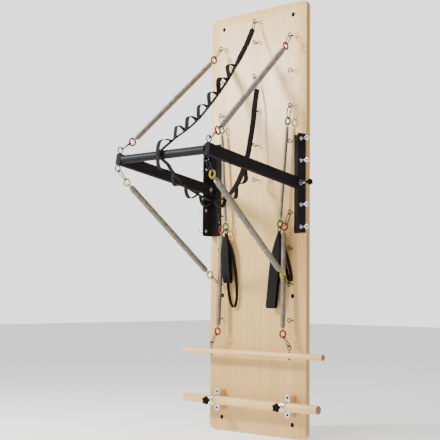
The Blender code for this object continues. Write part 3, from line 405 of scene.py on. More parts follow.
def soften(piece, width, segments, angle):
    """Rounds a piece's edges, as a file or a mould does, and keeps the result as plain mesh."""
    bevel = piece.modifiers.new("Softened edges", "BEVEL")
    bevel.width = width
    bevel.segments = segments
    bevel.limit_method = "ANGLE"
    bevel.angle_limit = math.radians(angle)
    bevel.harden_normals = True
    settle(piece)


def cut(piece, shape):
    """Takes a shape out of a piece."""
    mesh = bpy.data.meshes.new("Cutter")
    mesh.from_pydata(shape.points, [], shape.faces)
    tool = link_object("Cutter", mesh)
    modifier = piece.modifiers.new("Cut", "BOOLEAN")
    modifier.operation = "DIFFERENCE"
    modifier.solver = "EXACT"
    modifier.object = tool
    settle(piece)
    bpy.data.objects.remove(tool)
    bpy.data.meshes.remove(mesh)


def settle(piece):
    """Turns a piece's modifiers into plain mesh."""
    depsgraph = bpy.context.evaluated_depsgraph_get()
    mesh = bpy.data.meshes.new_from_object(piece.evaluated_get(depsgraph), depsgraph=depsgraph)
    old = piece.data
    piece.modifiers.clear()
    piece.data = mesh
    bpy.data.meshes.remove(old)


def repeat_on_board(name, item, points, turns, material, slot, replaces=()):
    """Copies of a small shape on many points of the board, each with its own turn, as one plain mesh."""
    source = make_piece(name + "_one", item, material)
    mesh = bpy.data.meshes.new(name)
    mesh.from_pydata([tuple(point) for point in points], [], [])
    attribute = mesh.attributes.new("turn", "FLOAT_VECTOR", "POINT")
    attribute.data.foreach_set("vector", [value for turn in turns for value in turn])
    piece = link_object(name, mesh)

    tree = bpy.data.node_groups.new(name + "_layout", "GeometryNodeTree")
    tree.interface.new_socket("Points", in_out="INPUT", socket_type="NodeSocketGeometry")
    tree.interface.new_socket("Pieces", in_out="OUTPUT", socket_type="NodeSocketGeometry")
    start = add_node(tree, "NodeGroupInput").outputs[0]
    one = add_node(tree, "GeometryNodeObjectInfo", {"Object": source}).outputs["Geometry"]
    turn = add_node(tree, "GeometryNodeInputNamedAttribute", {"Name": "turn"}, data_type="FLOAT_VECTOR").outputs[0]
    copies = add_node(tree, "GeometryNodeInstanceOnPoints", {"Points": start, "Instance": one, "Rotation": turn})
    real = add_node(tree, "GeometryNodeRealizeInstances", {"Geometry": copies.outputs[0]}).outputs[0]
    painted = add_node(tree, "GeometryNodeSetMaterial", {"Geometry": real, "Material": material}).outputs[0]
    add_node(tree, "NodeGroupOutput", {"Pieces": painted})
    piece.modifiers.new("Layout", "NODES").node_group = tree
    settle(piece)
    source_mesh = source.data
    bpy.data.objects.remove(source)
    bpy.data.meshes.remove(source_mesh)
    finish_piece(piece, "wall_board", replaces, slot)


# Materials


def linear(hex_colour):
    """Linear colour from an sRGB hex value."""
    values = []
    for i in (1, 3, 5):
        value = int(hex_colour[i:i + 2], 16) / 255
        values.append(value / 12.92 if value <= 0.04045 else ((value + 0.055) / 1.055) ** 2.4)
    return (*values, 1.0)


def add_node(tree, kind, inputs=None, **settings):
    """A node with its settings; each input is a value or another node's output."""
    node = tree.nodes.new(kind)
    for key, value in settings.items():
        setattr(node, key, value)
    for key, value in (inputs or {}).items():
        if isinstance(value, bpy.types.NodeSocket):
            tree.links.new(value, node.inputs[key])
        else:
            node.inputs[key].default_value = value
    return node


def remap(tree, value, low, high, new_low, new_high):
    return add_node(tree, "ShaderNodeMapRange", {"Value": value, "From Min": low, "From Max": high,
                                                 "To Min": new_low, "To Max": new_high}).outputs["Result"]


class Surface:
    """A material under construction, with the nodes that its looks are made of."""

    def __init__(self, name, **values):
        """values are set on the shader's own sockets for the whole surface."""
        self.material = bpy.data.materials.new(name)
        self.material.use_nodes = True
        self.tree = self.material.node_tree
        self.shader = self.tree.nodes["Principled BSDF"]
        for key, value in values.items():
            self.shader.inputs[key.replace("_", " ").title().replace("Ior", "IOR")].default_value = value
        self.spot = self.node("ShaderNodeTexCoord").outputs["Object"]

    def node(self, kind, inputs=None, **settings):
        return add_node(self.tree, kind, inputs, **settings)

    def calculate(self, operation, *values):
        return self.node("ShaderNodeMath", dict(enumerate(values)), operation=operation).outputs[0]

    def waves(self, value, pitch):
        """Even waves along a distance, one to each pitch."""
        return self.calculate("SINE", self.calculate("MULTIPLY", value, 2 * math.pi / pitch))

    def remap(self, value, low, high, new_low=0.0, new_high=1.0):
        return remap(self.tree, value, low, high, new_low, new_high)

    def noise(self, scale, detail, source=None, distortion=0.0):
        """Noise of some cycles to the metre: one number, or one for each axis."""
        scale = scale if isinstance(scale, tuple) else (scale,) * 3
        mapping = self.node("ShaderNodeMapping", {"Vector": source or self.spot, "Scale": scale})
        return self.node("ShaderNodeTexNoise", {"Vector": mapping.outputs["Vector"], "Scale": 1.0,
                                                "Detail": detail, "Distortion": distortion}).outputs["Fac"]

    def mix(self, factor, first, second):
        """A mix of two colours, each a hex value or a node's output."""
        first, second = (linear(colour) if isinstance(colour, str) else colour for colour in (first, second))
        return self.node("ShaderNodeMix", {"Factor": factor, 6: first, 7: second}, data_type="RGBA").outputs[2]

    def dress(self, colour, roughness=None, relief=None):
        """Links the colour, the roughness and the relief, which is a height, its strength and its depth."""
        self.tree.links.new(colour, self.shader.inputs["Base Color"])
        if roughness:
            self.tree.links.new(roughness, self.shader.inputs["Roughness"])
        if relief:
            bump = self.node("ShaderNodeBump", dict(zip(("Height", "Strength", "Distance"), relief)))
            self.tree.links.new(bump.outputs["Normal"], self.shader.inputs["Normal"])
        return self.material


def make_varnished_pine():
    """Glued-up pine staves under clear satin varnish: pale, with fine upright grain, faint darker
    lines at the joints, and a soft sheen that shows the grain's pores."""
    wood = Surface("Varnished pine staves", ior=1.5, coat_weight=0.08, coat_roughness=0.3)
    across = wood.node("ShaderNodeSeparateXYZ", {"Vector": wood.spot}).outputs["X"]
    shifted = wood.calculate("ADD", wood.calculate("MULTIPLY", across, 1 / STAVE_WIDTH), 40.35)
    stave = wood.calculate("FLOOR", shifted)
    tint = wood.node("ShaderNodeTexWhiteNoise", {"W": stave}, noise_dimensions="1D").outputs["Value"]
    shift = wood.node("ShaderNodeCombineXYZ", {"X": tint, "Z": tint}).outputs["Vector"]
    moved = wood.node("ShaderNodeVectorMath", {0: wood.spot, 1: shift}, operation="ADD").outputs["Vector"]
    # Pale and warm clouds, with a tint of its own for each stave
    cloud = wood.noise((3.0, 3.0, 0.8), 3.0, moved)
    colour = wood.mix(wood.remap(cloud, 0.32, 0.68), "#DFBC7C", "#CFA560")
    colour = wood.mix(wood.remap(tint, 0.0, 1.0, 0.0, 0.55), colour, "#CFA560")
    # The arched lines of the growth rings
    cathedral = wood.noise((26.0, 9.0, 0.85), 2.0, moved, 0.4)
    rings = wood.remap(wood.calculate("SINE", wood.calculate("MULTIPLY", cathedral, 34.0)), 0.1, 1.0)
    colour = wood.mix(wood.calculate("MULTIPLY", rings, 0.15), colour, "#A3783B")
    # Fine pores along the grain
    fibre = wood.noise((520.0, 160.0, 7.0), 5.0, moved)
    colour = wood.mix(wood.remap(fibre, 0.56, 0.72, 0.0, 0.26), colour, "#A3783B")
    # Glue lines between the staves
    within = wood.calculate("FRACT", shifted)
    from_middle = wood.calculate("ABSOLUTE", wood.calculate("SUBTRACT", within, 0.5))
    colour = wood.mix(wood.remap(from_middle, 0.494, 0.4995, 0.0, 0.35), colour, "#A9824F")
    # Painted shade on the board's long edge faces: a darker gold where they stand in shade
    edge = BOARD_WIDTH / 2
    edge_shade = wood.remap(wood.calculate("ABSOLUTE", across), edge - 0.0022, edge - 0.0012, 0.0, 0.7)
    colour = wood.mix(edge_shade, colour, "#B98A45")
    return wood.dress(colour, wood.remap(fibre, 0.3, 0.7, 0.36, 0.5), (fibre, 0.12, 0.0004))


def make_turned_beech(name, length):
    """Steamed beech, turned and sealed: short dark flecks along the grain, and brown end grain with
    its rings at both ends."""
    wood = Surface(name, ior=1.5, coat_weight=0.1, coat_roughness=0.35)
    fibre = wood.noise((9.0, 420.0, 420.0), 4.0)
    fleck = wood.noise((70.0, 900.0, 900.0), 2.0)
    cloud = wood.noise((3.0, 30.0, 30.0), 3.0)
    colour = wood.mix(wood.remap(cloud, 0.3, 0.7), "#F0CA88", "#E0AE66")
    colour = wood.mix(wood.remap(fibre, 0.52, 0.75, 0.0, 0.4), colour, "#C08F66")
    colour = wood.mix(wood.remap(fleck, 0.62, 0.7, 0.0, 0.45), colour, "#A87850")
    across = wood.node("ShaderNodeSeparateXYZ", {"Vector": wood.spot}).outputs["X"]
    at_end = wood.remap(wood.calculate("ABSOLUTE", across), length / 2 - 0.0012, length / 2 - 0.0004)
    end_grain = wood.mix(wood.noise((1.0, 260.0, 90.0), 2.0), "#9C7146", "#6F4C2C")
    colour = wood.mix(at_end, colour, end_grain)
    return wood.dress(colour, wood.remap(fibre, 0.3, 0.7, 0.38, 0.5), (fibre, 0.1, 0.0003))


def make_webbing():
    """Woven nylon webbing, black: cross ribs 2 mm apart, drawn coarser than the real 1.2 mm so
    that they show, with a soft sheen and the weave's high spots coloured lighter than its hollows."""
    cloth = Surface("Black nylon webbing", ior=1.45, sheen_weight=0.03, sheen_roughness=0.5,
                    sheen_tint=linear("#8C8580"), specular_ior_level=0.2)
    weave = cloth.node("ShaderNodeUVMap", uv_map="Surface").outputs["UV"]
    parts = cloth.node("ShaderNodeSeparateXYZ", {"Vector": weave}).outputs
    rib, warp = cloth.waves(parts["X"], 0.002), cloth.waves(parts["Y"], 0.0016)
    height = cloth.calculate("ADD", cloth.calculate("MULTIPLY", rib, warp), rib)
    cloud = cloth.noise(40.0, 4.0)
    colour = cloth.mix(cloth.remap(cloud, 0.3, 0.7), "#0D0B0B", "#161312")
    # The weave's high spots coloured lighter than its hollows
    colour = cloth.mix(cloth.remap(height, 0.2, 2.0, 0.0, 0.5), colour, "#262120")
    return cloth.dress(colour, cloth.remap(cloud, 0.3, 0.7, 0.72, 0.85), (height, 0.5, 0.0003))


def make_finish(name, colours, cloud, grain=None, rough=None, relief=None, limits=(0.3, 0.7), **values):
    """A surface mottled between two colours. cloud and grain are noises, as cycles to the metre
    and detail: the cloud sets the colour, and the grain, where there is one, the relief, as its
    strength and depth. rough is the noise that leads the roughness, and the range it gives."""
    finish = Surface(name, **values)
    noises = {"cloud": finish.noise(*cloud)}
    if grain:
        noises["grain"] = finish.noise(*grain)
    roughness = finish.remap(noises[rough[0]], 0.3, 0.7, *rough[1:]) if rough else None
    colour = finish.mix(finish.remap(noises["cloud"], *limits), *colours)
    return finish.dress(colour, roughness, (noises["grain"], *relief) if relief else None)


def make_plated_metal(name, colours, rough):
    """Plated steel with the faint clouding of a barrel finish, and a sheen rubbed uneven."""
    return make_finish(name, colours, (60.0, 3.0), (420.0, 3.0), ("grain", rough * 0.75, rough * 1.3), metallic=1.0)


def make_lacquer(name, colours):
    """Coloured lacquer on a steel ring, slightly streaked from dipping; it marks a spring's strength."""
    return make_finish(name, colours, (160.0, 3.0), limits=(0.35, 0.65), ior=1.5, coat_weight=0.05,
                       coat_roughness=0.3, roughness=0.6, specular_ior_level=0.2)


pine = make_varnished_pine()
roll_beech = make_turned_beech("Turned beech of the roll-down bar", ROLL_BAR_LENGTH)
foot_beech = make_turned_beech("Turned beech of the foot bar", FOOT_BAR_LENGTH)
# The same beech sawn as small blocks, with the grain upright
block_beech = make_finish("Sawn beech block", ("#DDB07C", "#C08A52"), ((380.0, 380.0, 10.0), 4.0),
                          rough=("cloud", 0.4, 0.52), limits=(0.35, 0.7), ior=1.5, coat_weight=0.15,
                          coat_roughness=0.4)
# Black polyester powder coat on steel: satin, with the fine orange peel of a baked coat
powder_coat = make_finish("Black powder coat", ("#1B181A", "#242123"), (14.0, 3.0), (900.0, 2.0),
                          ("cloud", 0.6, 0.7), (0.25, 0.00015), ior=1.5, specular_ior_level=0.03)
# Slate-grey satin paint on the round tube: a smooth, slightly blue film with a long highlight
slate_paint = make_finish("Slate satin paint", ("#17171B", "#1E1E23"), (10.0, 3.0), (500.0, 2.0),
                          ("cloud", 0.48, 0.56), (0.03, 0.0001), ior=1.5, specular_ior_level=0.09)
zinc = make_plated_metal("Bright zinc plate", ("#424246", "#2C2C30"), 0.24)
chrome = make_plated_metal("Polished chrome plate", ("#A4A5A9", "#8B8C91"), 0.1)
cast_zinc = make_plated_metal("Bright-dipped zinc casting", ("#DEDFE2", "#CBCCD0"), 0.3)
spring_nickel = make_plated_metal("Nickel-plated spring wire", ("#A59C8E", "#857D71"), 0.5)
red_lacquer = make_lacquer("Red ring lacquer", ("#8C101E", "#700C16"))
yellow_lacquer = make_lacquer("Yellow ring lacquer", ("#C0B516", "#A4990E"))
green_lacquer = make_lacquer("Green ring lacquer", ("#18803F", "#116633"))
webbing = make_webbing()
# Black polyester sewing thread, a little glossier than the webbing it holds
thread = make_finish("Black sewing thread", ("#242428", "#3A3A40"), (1500.0, 2.0), ior=1.45, roughness=0.55)
# Glass-filled nylon of the star knobs: satin black with a fine spark-eroded texture
moulded_nylon = make_finish("Moulded black nylon", ("#101010", "#191919"), (60.0, 3.0), (1400.0, 2.0),
                            ("grain", 0.6, 0.75), (0.2, 0.0001), ior=1.5, specular_ior_level=0.03)


# Board and its screw eyes


def make_board():
    """The panel with its counterbored holes, and the dark heads of the wall bolts in their sinks."""
    shape = Shape()
    outline = rounded_rectangle(BOARD_WIDTH, BOARD_HEIGHT, BOARD_CORNER, 10)
    shape.prism(outline, (0, 0, 0), ALONG_X, UPWARD, BOARD_THICKNESS)
    board = make_piece("springboard_panel", shape, pine)
    soften(board, 0.003, 4, 60.0)
    holes, heads = Shape(), Shape()
    sink = ((-0.001, 0.0114), (0.0006, 0.0106), (0.010, 0.0106), (0.010, 0.0045), (0.028, 0.0045))
    head = ((0.0, 0.0105), (0.0078, 0.0105), (0.0086, 0.0096), (0.0086, 0.0044), (0.0046, 0.0040))
    for side, _ in HANDS:
        for height in WALL_BOLT_HEIGHTS:
            holes.turned(place(side * WALL_BOLT_COLUMN, 0, height), (0, 1, 0), sink, 32)
            heads.turned(place(side * WALL_BOLT_COLUMN, -0.0099, height), OUTWARD, head, 32)
    cut(board, holes)
    smooth_faces(board.data, 35.0)
    finish_piece(board, "wall_board", ["board"], "pine_board")
    make_piece("wall_bolt_heads", heads, powder_coat, "wall_board", slot="black_powder_coat")


def screw_eye_shape():
    """One screw eye at the origin: its collar on the board and its ring out along -Y."""
    shape = Shape()
    centre = Vector((0, -EYE_RING_OUT, 0))
    shank = [(0, y, 0) for y in (0.002, -0.006, EYE_RING_RADIUS + 0.002 - EYE_RING_OUT)]
    ring = arc(centre, (0, 1, 0), UPWARD, EYE_RING_RADIUS, 34, 9.0, 334.0)
    path = smooth_path(shank, 3).tolist() + [tuple(point) for point in ring]
    shape.wire(path, EYE_WIRE, ALONG_X, 12)
    shape.turned((0, 0.0004, 0), OUTWARD, ((0, 0.0040), (0.0010, 0.0040), (0.0016, 0.0032), (0.0018, 0.002)), 20)
    return shape


def make_screw_eyes():
    """Nine rows in the outer columns and five in the middle one, with one eye on its own at the
    top. Eyes that carry nothing stand a little twisted, as screwed in by hand."""
    points, turns = [], []
    used = {"lower": 1, "leg": 3, "arm": 6, "upper": 8}
    wild = random.Random(7)
    for side in (-1, 0, 1):
        for row in range(0 if side else 4, 9):
            points.append(place(side * EYE_COLUMN, 0, row_height(row)))
            carries = row in used.values() if side else row == 7
            turns.append((0, 0 if carries else wild.uniform(-0.5, 0.5), 0))
    points.append(place(0, 0, EYE_TOP_CENTRE_HEIGHT))
    turns.append((0, 0, 0))
    replaced = [f"{label}_{hand}_screw_eye" for label in used for _, hand in HANDS]
    replaced += ["strap_top_screw_eye", "strap_end_screw_eye"]
    repeat_on_board("screw_eyes", screw_eye_shape(), points, turns, zinc, "bright_hardware", replaced)


# Side brackets


def make_bracket(side, hand):
    """A folded steel angle with its outer corners rounded."""
    shape = Shape()
    thick, bend = BRACKET_THICKNESS, 0.004
    inner_x, inner_out = BRACKET_FACE - thick - bend, thick + bend
    outline = [(BRACKET_FACE - BRACKET_FLANGE, 0), (BRACKET_FACE - BRACKET_FLANGE, thick)]
    outline += flat_arc(inner_x, inner_out, bend, 270, 360, 8)
    outline += [(BRACKET_FACE - thick, BRACKET_FIN), (BRACKET_FACE, BRACKET_FIN)]
    outline += flat_arc(inner_x, inner_out, bend + thick, 0, -90, 8)
    foot = place(0, 0.0003, BRACKET_HEIGHT - BRACKET_LENGTH / 2)
    shape.prism(outline, foot, (side, 0, 0), OUTWARD, -side * BRACKET_LENGTH)
    bracket = make_piece(f"{hand}_angle_bracket", shape, powder_coat)
    turn_faces_out(bracket)
    # The bit outside a round corner, with the corner's point at the origin
    radius = 0.009
    waste = [(-0.004, -0.004), (radius, -0.004), (radius, 0.0),
             *flat_arc(radius, radius, radius, 270, 180, 8)[1:-1], (0.0, radius), (-0.004, radius)]
    corners = Shape()
    for end in (-1, 1):
        height = BRACKET_HEIGHT + end * BRACKET_LENGTH / 2
        for x, out, run in ((BRACKET_FACE - BRACKET_FLANGE, -0.002, (side, 0, 0)),
                            (BRACKET_FACE + 0.002, BRACKET_FIN + 0.0003, (0, 1, 0))):
            corners.prism(waste, place(side * x, out, height), run, (0, 0, -end), 0.012 * side * end)
    cut(bracket, corners)
    soften(bracket, 0.0006, 2, 40.0)
    smooth_faces(bracket.data, 35.0)
    finish_piece(bracket, "wall_board", [f"{hand}_bracket"], "black_powder_coat")


def turn_faces_out(piece):
    work = bmesh.new()
    work.from_mesh(piece.data)
    bmesh.ops.remove_doubles(work, verts=work.verts, dist=1e-6)
    bmesh.ops.recalc_face_normals(work, faces=work.faces)
    work.to_mesh(piece.data)
    work.free()


def make_side_eye_bolts():
    """Eye bolts through the brackets' fins, each with a flanged nut on both faces, and the pivot's bushes."""
    bolts, bushes = Shape(), Shape()
    outer_nut = ((0.0, 0.009), (0.0012, 0.009), (0.0016, 0.0072), (0.005, 0.0068), (0.0056, 0.0058),
                 (0.0056, 0.0028))
    inner_nut = ((0.0, 0.009), (0.0012, 0.009), (0.0016, 0.0068), (0.0046, 0.0064), (0.005, 0.0055),
                 (0.005, 0.0028))
    bush = ((-0.0004, 0.009), (0.0290, 0.009), (0.0300, 0.0085), (0.0338, 0.0085), (0.0340, 0.0053))
    washer = ((0.0, 0.0125), (0.0014, 0.0125), (0.0018, 0.0118), (0.0018, 0.009))
    for side, _ in HANDS:
        sideways = Vector((side, 0, 0))
        for k in (-2, -1, 1, 2):
            height = BRACKET_HEIGHT + SIDE_EYE_PITCH * k
            outer, inner, middle, *stem = (
                place(side * reach, PIVOT[0], height)
                for reach in (BRACKET_FACE, BRACKET_FACE - BRACKET_THICKNESS, 0.334, 0.2878, 0.300, 0.310, 0.3225))
            bolts.turned(outer, sideways, outer_nut, 28)
            bolts.turned(inner, -sideways, inner_nut, 28)
            ring = arc(middle, -sideways, UPWARD, 0.0090, 30, 10, 336)
            bolts.wire(stem + ring, 0.0027, (0, 1, 0), 12)
        for profile in (bush, washer):
            bushes.turned(place(side * BRACKET_FACE, *PIVOT), sideways, profile, 40)
    make_piece("side_eye_bolts", bolts, cast_zinc, "wall_board", slot="bright_hardware")
    make_piece("pivot_bushes", bushes, chrome, "wall_board", slot="bright_hardware")


def screw_head_shape(radius, height):
    """A pan head at the origin that stands out along -Y, with its cross recess left as a dimple."""
    shape = Shape()
    profile = ((-0.0004, radius), (height * 0.3, radius), (height * 0.7, radius * 0.86), (height, radius * 0.55),
               (height, radius * 0.3), (height * 0.35, radius * 0.16))
    shape.turned((0, 0, 0), OUTWARD, profile, 20)
    return shape


def make_small_screws():
    """Screws that hold the brackets' flanges and the foot bar's plates, each turned on from the last."""
    sets = (("bracket_screws", place(0.2615, 0.0053, BRACKET_HEIGHT), (-0.184, -0.062, 0.062, 0.184), (0, 0.7),
             0.0048, zinc, "bright_hardware"),
            ("clamp_screws", place(BLOCK_CENTRE, 0.0346, FOOT_BAR_HEIGHT), (-0.0385, 0.0385), (0.5, 0.9),
             0.0058, powder_coat, "black_powder_coat"))
    for name, spot, rises, (first_turn, step), radius, material, slot in sets:
        points = [(side * spot.x, spot.y, spot.z + rise) for side, _ in HANDS for rise in rises]
        turns = [(0, first_turn + step * index, 0) for index in range(len(points))]
        repeat_on_board(name, screw_head_shape(radius, 0.0026), points, turns, material, slot)


# Push-through bar


def arm_line(side, reaches):
    return [along_bar(side * ARM_CENTRE, reach) for reach in reaches]


def make_push_bar():
    upward = along_bar(0, 0, 1) - along_bar(0, 0, 0)
    forward = along_bar(0, 1) - along_bar(0, 0)
    outline = rounded_rectangle(ARM_WIDTH, ARM_HEIGHT, 0.004, 6)
    inside = rounded_rectangle(ARM_WIDTH - 0.005, ARM_HEIGHT - 0.005, 0.002, 4)
    # The moulded plug in an arm's front end: reach and share of the arm's section
    plug = ((ARM_FRONT - 0.006, 0.94), (ARM_FRONT - 0.0055, 0.94), (ARM_FRONT - 0.0055, 1.0),
            (ARM_FRONT - 0.0014, 1.0), (ARM_FRONT - 0.0004, 0.975), (ARM_FRONT, 0.92))
    cap_profile = ((-0.0004, 0.0115), (0.0012, 0.0115), (0.0016, 0.0085), (0.0040, 0.0080), (0.0052, 0.0062),
                   (0.0056, 0.0030))
    reach = PIVOT_PIN_TIP - ARM_CENTRE + ARM_WIDTH / 2
    rod = ((0.020, PIVOT_PIN_RADIUS), (reach - 0.0008, PIVOT_PIN_RADIUS), (reach, PIVOT_PIN_RADIUS - 0.0008))
    for side, hand in HANDS:
        shape = Shape()
        shape.sweep(arm_line(side, (-ARM_REAR, ARM_FRONT - 0.006)), outline, ALONG_X, tangent=forward)
        shape.sweep(arm_line(side, [at for at, _ in plug]), outline, ALONG_X, [size for _, size in plug],
                    tangent=forward, slot=1)
        arm = make_piece(f"{hand}_push_bar_arm", shape, [powder_coat, moulded_nylon])
        bore = Shape()
        bore.sweep(arm_line(side, (-ARM_REAR - 0.002, -ARM_REAR + 0.008)), inside, ALONG_X, tangent=forward)
        cut(arm, bore)
        smooth_faces(arm.data, 30.0)
        finish_piece(arm, "push_bar", [f"{hand}_arm"], "black_powder_coat")
        inner = along_bar(side * (ARM_CENTRE - ARM_WIDTH / 2), 0)
        pin, cap = Shape(), Shape()
        pin.turned(inner, (side, 0, 0), rod, 32)
        make_piece(f"{hand}_pivot_pin", pin, zinc, "push_bar", slot="bright_hardware")
        cap.turned(inner, (-side, 0, 0), cap_profile, 36)
        make_piece(f"{hand}_pivot_cap_nut", cap, chrome, "push_bar", slot="bright_hardware")
        make_bar_eye_bolt(side, hand, upward, forward)
    tube, beads = Shape(), Shape()
    half = ARM_CENTRE - ARM_WIDTH / 2 - 0.0003
    profile = ((0.0, CROSS_TUBE_RADIUS), (2 * half, CROSS_TUBE_RADIUS))
    tube.turned(along_bar(-half, CROSS_TUBE_REACH), ALONG_X, profile, 64)
    make_piece("push_bar_cross_tube", tube, slate_paint, "push_bar", ["cross_tube"], "slate_satin_coat")
    for side, _ in HANDS:
        centre = along_bar(side * (half - 0.0008), CROSS_TUBE_REACH)
        path = arc(centre, upward, forward, CROSS_TUBE_RADIUS + 0.0006, 60)
        beads.wire(path, 0.0016, ALONG_X, 8, closed=True)
    make_piece("cross_tube_weld_beads", beads, powder_coat, "push_bar", slot="black_powder_coat")


def make_bar_eye_bolt(side, hand, upward, forward):
    """The rod through the arm's end, with an eye above and below and a washer and nut at each face."""
    shape = Shape()
    middle = along_bar(side * ARM_CENTRE, BAR_EYE_REACH)
    washer = ((0.0, 0.0088), (0.0010, 0.0088), (0.0010, 0.0065))
    nut = ((0.0010, 0.0068), (0.0030, 0.0068), (0.0036, 0.0060), (0.0036, 0.003))
    for face in (-1, 1):
        away = upward * face
        ring = arc(middle + away * BAR_EYE_OFFSET, -away, -forward * face, BAR_EYE_RADIUS, 36, 7, 338)
        stem = [middle + away * rise for rise in (0.020, 0.026, BAR_EYE_OFFSET - BAR_EYE_RADIUS - 0.0005)]
        shape.wire(stem + ring, BAR_EYE_WIRE, ALONG_X, 14)
        for profile, sides in ((washer, 28), (nut, 6)):
            shape.turned(middle + away * (ARM_HEIGHT / 2), away, profile, sides)
    make_piece(f"{hand}_bar_end_eyes", shape, zinc, "push_bar", [f"{hand}_bar_eye_bolt"], "bright_hardware", 32.0)


# Springs with their snap hooks and coloured rings


def across_pull(pull, turn):
    """Two directions square to a pull: sideways along X, and frontways, both turned about the pull."""
    sideways = (ALONG_X - pull * ALONG_X.dot(pull)).normalized()
    swing = Matrix.Rotation(turn, 3, pull)
    return swing @ sideways, swing @ pull.cross(sideways)


def make_link(name, start, pulls, turns, lacquer, body, node, length=HOOK_LENGTH, wide=HOOK_HALF_WIDTH):
    """A snap hook and its coloured ring. Returns the ring's middle."""
    pull, ring_pull = pulls
    shape = Shape()
    add_snap_hook(shape, start, pull, *across_pull(pull, turns[0]), length, wide)
    centre = start + pull * length + ring_pull * (RING_RADIUS - RING_WIRE - HOOK_WIRE + 0.0004)
    if lacquer:
        ring_sideways, ring_front = across_pull(ring_pull, turns[1])
        ring = arc(centre, ring_pull, ring_front, RING_RADIUS, 44)
        shape.wire(ring, RING_WIRE, ring_sideways, 14, closed=True, slot=1)
    make_piece(name, shape, [zinc, lacquer] if lacquer else zinc, body, [node], "bright_hardware", 50.0)
    return centre


def add_snap_hook(shape, start, pull, sideways, front, length, wide):
    """A sprung hook bent from one wire into a pear: a round bow, a back, a narrow foot and a gate."""
    narrow = HOOK_NARROW_HALF_WIDTH
    low = start + pull * wide
    high = start + pull * (length - narrow)
    bow = arc(low, -sideways, -pull, wide, 14, 0, 180)
    foot = arc(high, sideways, pull, narrow, 14, 0, 180)
    nose, hinge = ((low - sideways * wide).lerp(high - sideways * narrow, share) for share in (0.14, 0.80))
    shape.wire([nose] + bow + foot + [hinge], HOOK_WIRE, front, 12)
    gate = [nose + pull * 0.0006, nose * 0.5 + hinge * 0.5 + sideways * 0.0006, hinge - pull * 0.0006]
    shape.wire(smooth_path(gate, 6), HOOK_WIRE * 0.72, front, 10)
    for end, reach in ((hinge, 0.0056), (nose, 0.0042)):
        barrel = ((0, 0.0020), (0.0005, 0.0026), (reach - 0.0005, 0.0026), (reach, 0.0020))
        shape.turned(end - pull * reach / 2, pull, barrel, 16)


def coil_path(start, end, sideways, front, coil_radius):
    """The centreline of a close-wound spring and its wire: end loop, tapered turns, body, taper, loop."""
    pull = (end - start).normalized()
    loop, each = COIL_END_LOOP, 16
    path = arc(start + pull * loop, pull, sideways, loop, 22, 38, 342)
    first = 2 * loop + 0.0015
    last = (end - start).length - first
    steps = int((last - first) / COIL_PITCH) * each
    for k in range(1, steps):
        distance = first + (last - first) * k / steps
        grown = min(1.0, min(distance - first, last - distance) / COIL_TAPER)
        radius = COIL_END_RADIUS + (coil_radius - COIL_WIRE - COIL_END_RADIUS) * grown ** 0.75
        angle = 2 * math.pi * k / each
        path.append(start + pull * distance + radius * (math.cos(angle) * sideways + math.sin(angle) * front))
    return path + arc(end - pull * loop, -pull, -sideways, loop, 22, 18, 322)


def make_coil(name, start, end, turn, coil_radius, node):
    """A close-wound winding between its two ends."""
    pull = (end - start).normalized()
    sideways, front = across_pull(pull, turn)
    path = coil_path(start, end, sideways, front, coil_radius)
    shape = Shape()
    shape.sweep(path, circle(7), carried_normals(path, front), COIL_WIRE)
    coil = make_piece(name, shape, spring_nickel, replaces=[node], slot="spring_wire", soft_angle=60.0)
    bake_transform(coil)


def hang_spring(label, eyes, gaps, pulls, lacquer, bodies, turns=((0.0, 0.0), 0.0, (0.0, 0.0)), *, wide,
                last_hook=HOOK_LENGTH, coil_radius=COIL_RADIUS):
    """A spring between two eyes with its two links; pulls run from the first eye to the last."""
    first_pulls = [Vector(pull).normalized() for pull in pulls[0]]
    last_pulls = [-Vector(pull).normalized() for pull in pulls[1]]
    seat = RING_RADIUS - RING_WIRE - COIL_END_WIRE - LINK_SLACK
    first_ring = make_link(f"{label}_top_hook", eyes[0] + first_pulls[0] * gaps[0], first_pulls, turns[0], lacquer,
                           bodies[0], f"{label}_top_link", wide=wide[0])
    last_ring = make_link(f"{label}_end_hook", eyes[1] + last_pulls[0] * gaps[1], last_pulls, turns[2], lacquer,
                          bodies[1], f"{label}_end_link", last_hook, wide[1])
    line = (last_ring - first_ring).normalized()
    coil_start = first_ring + (first_pulls[1] + line * 2).normalized() * seat
    coil_end = last_ring + (last_pulls[1] - line * 2).normalized() * seat
    make_coil(f"{label}_winding", coil_start, coil_end, turns[1], coil_radius, f"{label}_coil")


